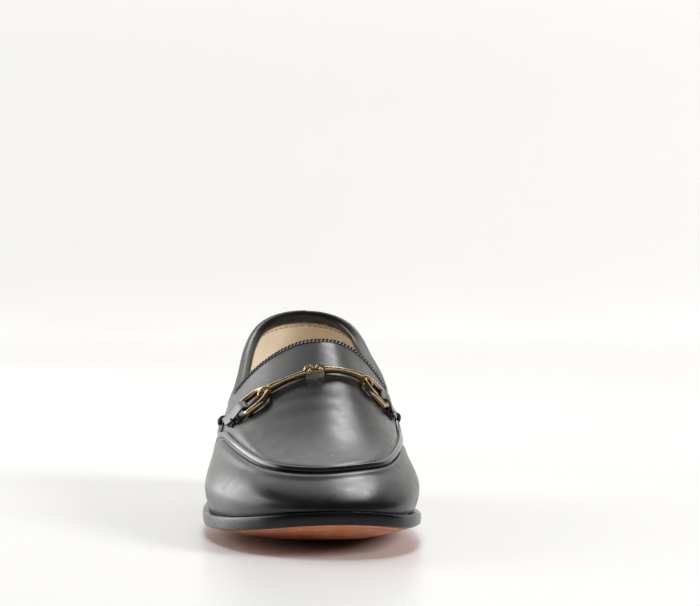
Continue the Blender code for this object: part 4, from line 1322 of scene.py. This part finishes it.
@dataclass
class Instep:
    """The line across the instep that the bit follows. Places are lengths from its middle."""

    form: UpperForm
    along: float = 0.1005
    slant: float = 0.0060
    bow: float = 0.0050
    middle_across: float = 0.085
    line: Array = field(init=False)
    slope: Array = field(init=False)
    run: Array = field(init=False)

    def __post_init__(self) -> None:
        """Works out the line and how the upper slopes there."""
        shares = np.linspace(-0.98, 0.98, 1201)
        step = 0.0044
        self.line = self.section(self.along, shares)
        self.slope = self.section(self.along + step, shares) - self.section(self.along - step, shares)
        run = run_of(self.line)
        self.run = run - np.interp(self.middle_across, shares, run)

    def section(self, along: float | Array, shares: Array) -> Array:
        """The outer face straight across the shoe at one place along."""
        last = self.form.last
        outward = np.stack([np.zeros(len(shares)), np.sign(shares)], axis=1)
        places = along + self.slant * shares + self.bow * shares**2
        return last.skin(last.plan(places / last.length, shares), outward)

    def seam_place(self, side: Side) -> float:
        """Where the apron seam crosses this line."""
        curve = self.form.seam_curve(side)
        crossing = curve[np.argmin(np.abs(curve[:, 0] - self.along)), 1]
        half = self.run > 0 if side is Side.MEDIAL else self.run < 0
        return float(self.run[half][np.argmin(np.abs(self.line[half, 0] - crossing))])

    def read(self, values: Array, places: Array) -> Array:
        """Values kept at the line's points, read at places on it."""
        return read_at(places, self.run, values)

    def frames(self, places: Array | float) -> Frames:
        """Unit directions at places: medial along the line, backwards and outwards."""
        places = np.asarray(places, float)
        across = unit(self.read(self.line, places + 0.0011) - self.read(self.line, places - 0.0011))
        normal = unit(np.cross(across, self.read(self.slope, places)))
        return across, np.cross(normal, across), normal

    def at(self, places: Array | float, lift: Array | float, back: Array | float = 0.0) -> Array:
        """Points 'lift' off the upper and 'back' towards the heel from the line."""
        places = np.asarray(places, float)
        _, backward, normal = self.frames(places)
        lift, back = (np.broadcast_to(item, places.shape)[..., None] for item in (lift, back))
        return self.read(self.line, places) + normal * lift + backward * back


@dataclass
class Bit:
    """The metal bit: two bars with eyes, a link, two stirrup rings and the straps that hold them."""

    instep: Instep
    lift: float = 0.0018
    reach: float = 0.0200
    ring_lift: tuple = (0.0018, 0.0018)
    bar_width: float = 0.0015
    bar_height: float = 0.0031
    inner_eye: float = 0.0016
    eye_rise: float = 0.0014
    outer_eye: tuple = (0.0026, 0.0018)
    eye_in: float = 0.0012
    wire: float = 0.0012
    link_half_length: float = 0.0022
    link_half_width: float = 0.0013
    link_wire: float = 0.0009
    ring_length: float = 0.0117
    ring_width: float = 0.0135
    ring_bar: tuple = (0.0019, 0.0025)
    ring_corner: float = 0.0012
    strap_width: float = 0.0088
    strap_thickness: float = 0.0010
    strap_drift: float = 0.0095

    def ring_frame(self, side: Side) -> tuple[Array, Array, Array, Array]:
        """Centre, outward, backward and normal of one stirrup ring's plane."""
        ends = side.value * (self.reach + np.array([0.0, self.ring_length]))
        start, end = self.instep.at(ends, np.array(self.ring_lift))
        outward = unit(end - start)
        _, backward, _ = self.instep.frames(float(ends.mean()))
        normal = unit(np.cross(outward, backward)) * side.value
        return (start + end) / 2, outward, unit(np.cross(normal, outward)) * side.value, normal

    def ring_at(self, side: Side, out: Array, back: Array) -> Array:
        """Points in a ring's plane, 'out' from its round end."""
        centre, outward, backward, _ = self.ring_frame(side)
        out, back = (np.asarray(item, float)[..., None] for item in (out, back))
        return centre + outward * (out - self.ring_length / 2) + backward * back

    def torus(self, centre: Array, first: Array, second: Array, halves: tuple, wire: float) -> Body:
        """An oval loop of round wire in the plane of two directions."""
        turns = np.arange(40) * 2 * math.pi / 40
        cosine, sine = np.cos(turns)[:, None], np.sin(turns)[:, None]
        centres = centre + first * halves[0] * cosine + second * halves[1] * sine
        frames = path_frames(centres, np.cross(first, second), closed=True)
        return sweep(frames, rounded_profile(wire, wire, 2.0, 14), closed=True)

    def build_bar(self, side: Side, gold: Material) -> None:
        """A tall rounded bar that swells outwards, with an eye at each end."""
        sign = side.value
        inner = sign * self.link_half_length
        t = np.linspace(0, 1, 40)
        tip = self.eye_in - self.outer_eye[0]
        ends = (inner + sign * self.inner_eye, sign * (self.reach + tip))
        places = ends[0] + (ends[1] - ends[0]) * t
        missed = self.ring_at(side, tip, 0.0) - self.instep.at(ends[1], self.lift)
        centres = self.instep.at(places, self.lift) + missed * smooth_step(t, 0.25, 1.0)[:, None]
        _, _, normal = self.instep.frames(places)
        waist = 0.85 + 0.25 * np.abs(2 * t - 0.9) ** 1.5
        profile = rounded_profile(self.bar_width, self.bar_height, 2.8)
        bar = sweep(path_frames(centres, normal), profile, np.stack([waist, waist], axis=1))
        across, _, up = self.instep.frames(inner)
        _, outward, _, ring_up = self.ring_frame(side)
        middle = self.instep.at(inner, self.lift + self.eye_rise)
        eyes = [
            self.torus(middle, across, up, (self.inner_eye, self.inner_eye), self.wire),
            self.torus(self.ring_at(side, self.eye_in, 0.0), outward, ring_up, self.outer_eye, self.wire),
        ]
        name = side.name.lower()
        publish(make_piece("bit_bar_dressed_" + name, [bar, *eyes], [gold]), "bit_metal", "bit_bar_" + name)

    def build_ring(self, side: Side, gold: Material) -> None:
        """The flat stirrup ring: a round end, two limbs and a cross bar."""
        radius, corner = self.ring_width / 2, self.ring_corner
        turns = np.linspace(-0.5 * math.pi, 0.5 * math.pi, 30)
        out = radius * (1 - np.cos(turns))
        back = radius * np.sin(turns)
        bend = np.linspace(0, 0.5 * math.pi, 6)
        corner_out = self.ring_length - corner + corner * np.sin(bend)
        corner_back = radius - corner + corner * np.cos(bend)
        out = np.concatenate([out, corner_out, corner_out[::-1]])
        back = np.concatenate([back, corner_back, -corner_back[::-1]])
        centres = self.ring_at(side, out, back)
        normal = self.ring_frame(side)[3]
        frames = path_frames(centres, normal, closed=True)
        body = sweep(frames, rounded_profile(*self.ring_bar, 3.2), closed=True)
        name = side.name.lower()
        publish(make_piece("bit_ring_dressed_" + name, [body], [gold]), "bit_metal", "bit_ring_" + name)

    def build_link(self, gold: Material) -> None:
        """The small oval link at the middle."""
        across, backward, _ = self.instep.frames(0.0)
        halves = (self.link_half_length, self.link_half_width)
        middle = self.instep.at(0.0, self.lift + 0.6 * self.eye_rise)
        body = self.torus(middle, across, backward, halves, self.link_wire)
        publish(make_piece("bit_link_dressed", [body], [gold]), "bit_metal", "bit_link")

    def strap_run(self, side: Side) -> float:
        """Length of a strap from the ring's cross bar to the seam."""
        return abs(self.instep.seam_place(side)) - 0.0017 - self.reach - self.ring_length

    def drift_at(self, side: Side, place: float | Array) -> Array:
        """How far back a strap has bent at a place: its full drift * share ^ 1.5."""
        share = (np.abs(place) - self.reach - self.ring_length) / self.strap_run(side)
        return self.strap_drift * np.clip(share, 0, 1.3) ** 1.5

    def build_strap(self, side: Side, calf: Material) -> None:
        """Leather strap end: folded round the ring's cross bar and laid down to the seam."""
        sign = side.value
        thick, gap = self.strap_thickness, 0.0001
        bend = self.ring_bar[1] / 2 + gap + thick / 2
        seated = 2.5 * gap + thick / 2
        doubled = seated + thick + gap
        turns = np.linspace(1.5 * math.pi, 0.5 * math.pi, 15)
        _, _, backward, normal = self.ring_frame(side)
        fold = self.ring_at(side, self.ring_length + bend * np.cos(turns), np.zeros(len(turns)))
        fold = fold + normal * (bend * np.sin(turns))[:, None]
        bar = self.reach + self.ring_length
        run = self.strap_run(side)
        out = np.array([0.25, 0.6, 1.0])
        drop = np.array([0.25, 0.85, 1.0])
        layers = []
        for start, rest in ((fold[0], seated), (fold[-1], doubled)):
            height = float(np.dot(start - self.instep.at(sign * bar, 0.0), normal))
            places = sign * (bar + run * out)
            lift = height + (rest - height) * drop
            layers.append(self.instep.at(places, lift, self.drift_at(side, places)))
        centres = curve_through(np.vstack([layers[0][::-1], fold[::2], layers[1]]), 60)
        tangents = np.gradient(centres, axis=0)
        frames = (centres, np.broadcast_to(backward, centres.shape), unit(np.cross(backward, tangents)))
        body = sweep(frames, rounded_profile(self.strap_width, thick, 5.0, 32))
        name = side.name.lower()
        publish(make_piece("strap_dressed_" + name, [body], [calf]), "black_calf", "strap_" + name)


@dataclass
class WhipStitches:
    """Thick waxed threads that hold each strap's end to the seam, and the knots over the seam's end."""

    bit: Bit
    upper: Upper
    thread: float = 0.0009
    edge_places: tuple = (0.0048, 0.0076)
    foot_reach: float = 0.0019

    def cord(self, points: Sequence) -> Body:
        """A round thread along a smooth line through points."""
        centres = curve_through(np.array(points), 28)
        up = np.array([0.3, 0.2, 0.93])
        share = np.linspace(0, 1, len(centres))
        size = np.sqrt(np.clip(1 - np.abs(2 * share - 1) ** 8, 0.15, 1))
        profile = rounded_profile(self.thread, self.thread, 2.0, 10)
        return sweep(path_frames(centres, up), profile, np.stack([size, size], axis=1))

    def edge_threads(self, side: Side) -> list:
        """Threads over the strap's near edge: down from the leather, over the edge and back into it."""
        instep, sign = self.bit.instep, side.value
        seam = abs(instep.seam_place(side))
        made = []
        for out in self.edge_places:
            place = sign * (seam - out)
            half = self.bit.strap_width / 2 - float(self.bit.drift_at(side, place))
            made.append(self.cord([instep.at(place, lift, -half + back) for back, lift in EDGE_ARC]))
            foot = [instep.at(place + sign * go, lift, -half - self.foot_reach) for go, lift in FOOT_ARC]
            made.append(self.cord(foot))
        return made

    def knots(self, side: Side) -> list:
        """Wraps over the end of the seam's roll, and two short tails."""
        upper, form = self.upper, self.upper.form
        k = upper.wall_columns + 4
        grid, out = upper.grids[side], upper.outs[side]
        made = []
        for turn, aside in enumerate((-0.7, -0.2, 0.3)):
            row = int(np.argmin(np.abs(upper.numbers - (form.seam_end_rib + aside))))
            climb = unit(grid[row, k + 3] - grid[row, k - 3])
            lean = unit(grid[row + 1, k] - grid[row - 1, k]) * 0.0005 * (turn - 1)
            centre, normal = grid[row, k], out[row, k]
            leaned = [centre + climb * go + normal * up + lean * go / KNOT_ARC[-1][0] for go, up in KNOT_ARC]
            made.append(self.cord(leaned))
        row = int(np.argmin(np.abs(upper.numbers - form.seam_end_rib)))
        start, normal = grid[row, k] + out[row, k] * 0.0016, out[row, k]
        for drift in (-0.0016, 0.0010):
            tail = [start, start + normal * 0.0010 + (0, drift, -0.0012), start + (0, 2 * drift, -0.0036)]
            made.append(self.cord([tail[0], tail[1], tail[2] + normal * 0.0006]))
        return made

    def build(self, side: Side, finish: Material) -> None:
        """All threads of one side as one piece."""
        cords = self.edge_threads(side) + self.knots(side)
        publish(make_piece("whip_stitches_" + side.name.lower(), cords, [finish]), "black_calf")


@dataclass(frozen=True)
class SoftLight:
    """A soft rectangular light. One that isn't glossy only brightens: polished surfaces don't mirror it."""

    name: str
    place: tuple
    aim: tuple
    size: tuple
    watts: float
    glossy: bool = True

    def build(self) -> None:
        """Puts the panel at its place and turns it to its aim."""
        light = bpy.data.lights.new(self.name, "AREA")
        light.shape = "RECTANGLE"
        light.size, light.size_y = self.size
        light.energy = self.watts
        lamp = bpy.data.objects.new(self.name, light)
        lamp.visible_glossy = self.glossy
        bpy.context.scene.collection.objects.link(lamp)
        way = np.array(self.aim, float) - np.array(self.place, float)
        lamp.location = self.place
        flat = math.hypot(way[0], way[1])
        lamp.rotation_euler = (math.atan2(flat, -way[2]), 0.0, math.atan2(way[1], way[0]) - math.pi / 2)


# Two fills that only brighten, a small key and a panel high behind, and a panel low at the left
LIGHTS = (
    SoftLight("overhead", (0.0, -0.12, 1.25), (0, -0.12, 0.0), (0.8, 0.35), 9.0, glossy=False),
    SoftLight("right_fill", (1.60, -0.95, 0.95), (0, 0.06, 0.05), (0.75, 0.75), 35.0, glossy=False),
    SoftLight("key", (0.23, 0.69, 0.97), (0, -0.03, 0.05), (0.25, 0.23), 2.0),
    SoftLight("back_panel", (-0.22, 0.85, 0.98), (0, -0.03, 0.05), (0.7, 0.7), 1.1),
    SoftLight("left_panel", (-0.85, 0.50, 0.34), (0, -0.02, 0.05), (1.0, 0.66), 7.0),
)


@dataclass
class Studio:
    """Floor, lights and the camera at the photograph's angle to the shoe."""

    camera_place: tuple = (-0.0262, -1.1268, 0.130)
    camera_turn: tuple = (87.94, 0.0, -2.215)
    lens: float = 141.6
    world: float = 0.04

    def build_floor(self, paper: Material) -> None:
        """Floor that sweeps up behind: flat, then a quarter circle, then upright."""
        radius, depth, rise, half = 0.9, 1.6, 3.0, 4.0
        turns = np.linspace(0, 0.5 * math.pi, 24)
        y = np.concatenate([[-3.0, 0.0], depth + radius * np.sin(turns), [depth + radius]])
        z = np.concatenate([[0.0, 0.0], radius * (1 - np.cos(turns)), [rise]])
        x = np.array([-half, half])
        grid = np.stack(np.broadcast_arrays(x[None], y[:, None], z[:, None]), axis=-1)
        faces = quads(*grid.shape[:2])[:, ::-1]
        floor = make_piece("studio_floor", [(grid, faces)], [paper], closed=False)

    def build_lights(self) -> None:
        """The lights, and a dim even surround."""
        for light in LIGHTS:
            light.build()
        world = bpy.data.worlds.new("surround")
        world.use_nodes = True
        background = world.node_tree.nodes["Background"]
        background.inputs["Color"].default_value = (1.0, 0.995, 0.985, 1)
        background.inputs["Strength"].default_value = self.world
        bpy.context.scene.world = world

    def build_camera(self) -> None:
        """Camera in front of the toe, a little to the left, nearly level."""
        lens = bpy.data.cameras.new("front_view")
        lens.lens = self.lens
        lens.sensor_width = 36.0
        camera = bpy.data.objects.new("front_view", lens)
        camera.location = self.camera_place
        camera.rotation_euler = [math.radians(turn) for turn in self.camera_turn]
        bpy.context.scene.collection.objects.link(camera)
        bpy.context.scene.camera = camera

    def build(self, paper: Material) -> None:
        """Sets up the whole studio with plain colours."""
        self.build_floor(paper)
        self.build_lights()
        self.build_camera()
        bpy.context.scene.view_settings.view_transform = "Standard"


def main() -> None:
    """Builds the pieces in order."""
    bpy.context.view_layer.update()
    finish = {kind: kind.value.build() for kind in Finishes}
    Studio().build(finish[Finishes.FLOOR])
    last = Last()
    form = UpperForm(last)
    upper = Upper(form)
    upper.build_shell(finish[Finishes.CALF])
    upper.build_lining(finish[Finishes.LINING], finish[Finishes.GOLD_THREAD])
    upper.build_collar_roll(finish[Finishes.CALF])
    upper.build_edge_stitches(finish[Finishes.BLACK_THREAD], finish[Finishes.PAINTED_THREAD_HIGHLIGHT])
    upper.build_piping(finish[Finishes.ROLLED_CALF])
    bottom = Bottom(last)
    bottom.build_outsole(finish[Finishes.SOLE], finish[Finishes.EDGE])
    bottom.build_stitches(finish[Finishes.TAN_THREAD])
    bottom.build_heel(finish[Finishes.STACK], finish[Finishes.RUBBER])
    bottom.dress_insole(finish[Finishes.LINING])
    bit = Bit(Instep(form))
    threads = WhipStitches(bit, upper)
    for side in Side:
        bit.build_bar(side, finish[Finishes.PLATE])
        bit.build_ring(side, finish[Finishes.PLATE])
        bit.build_strap(side, finish[Finishes.CALF])
        threads.build(side, finish[Finishes.BLACK_THREAD])
    bit.build_link(finish[Finishes.PLATE])


if __name__ == "__main__":
    main()
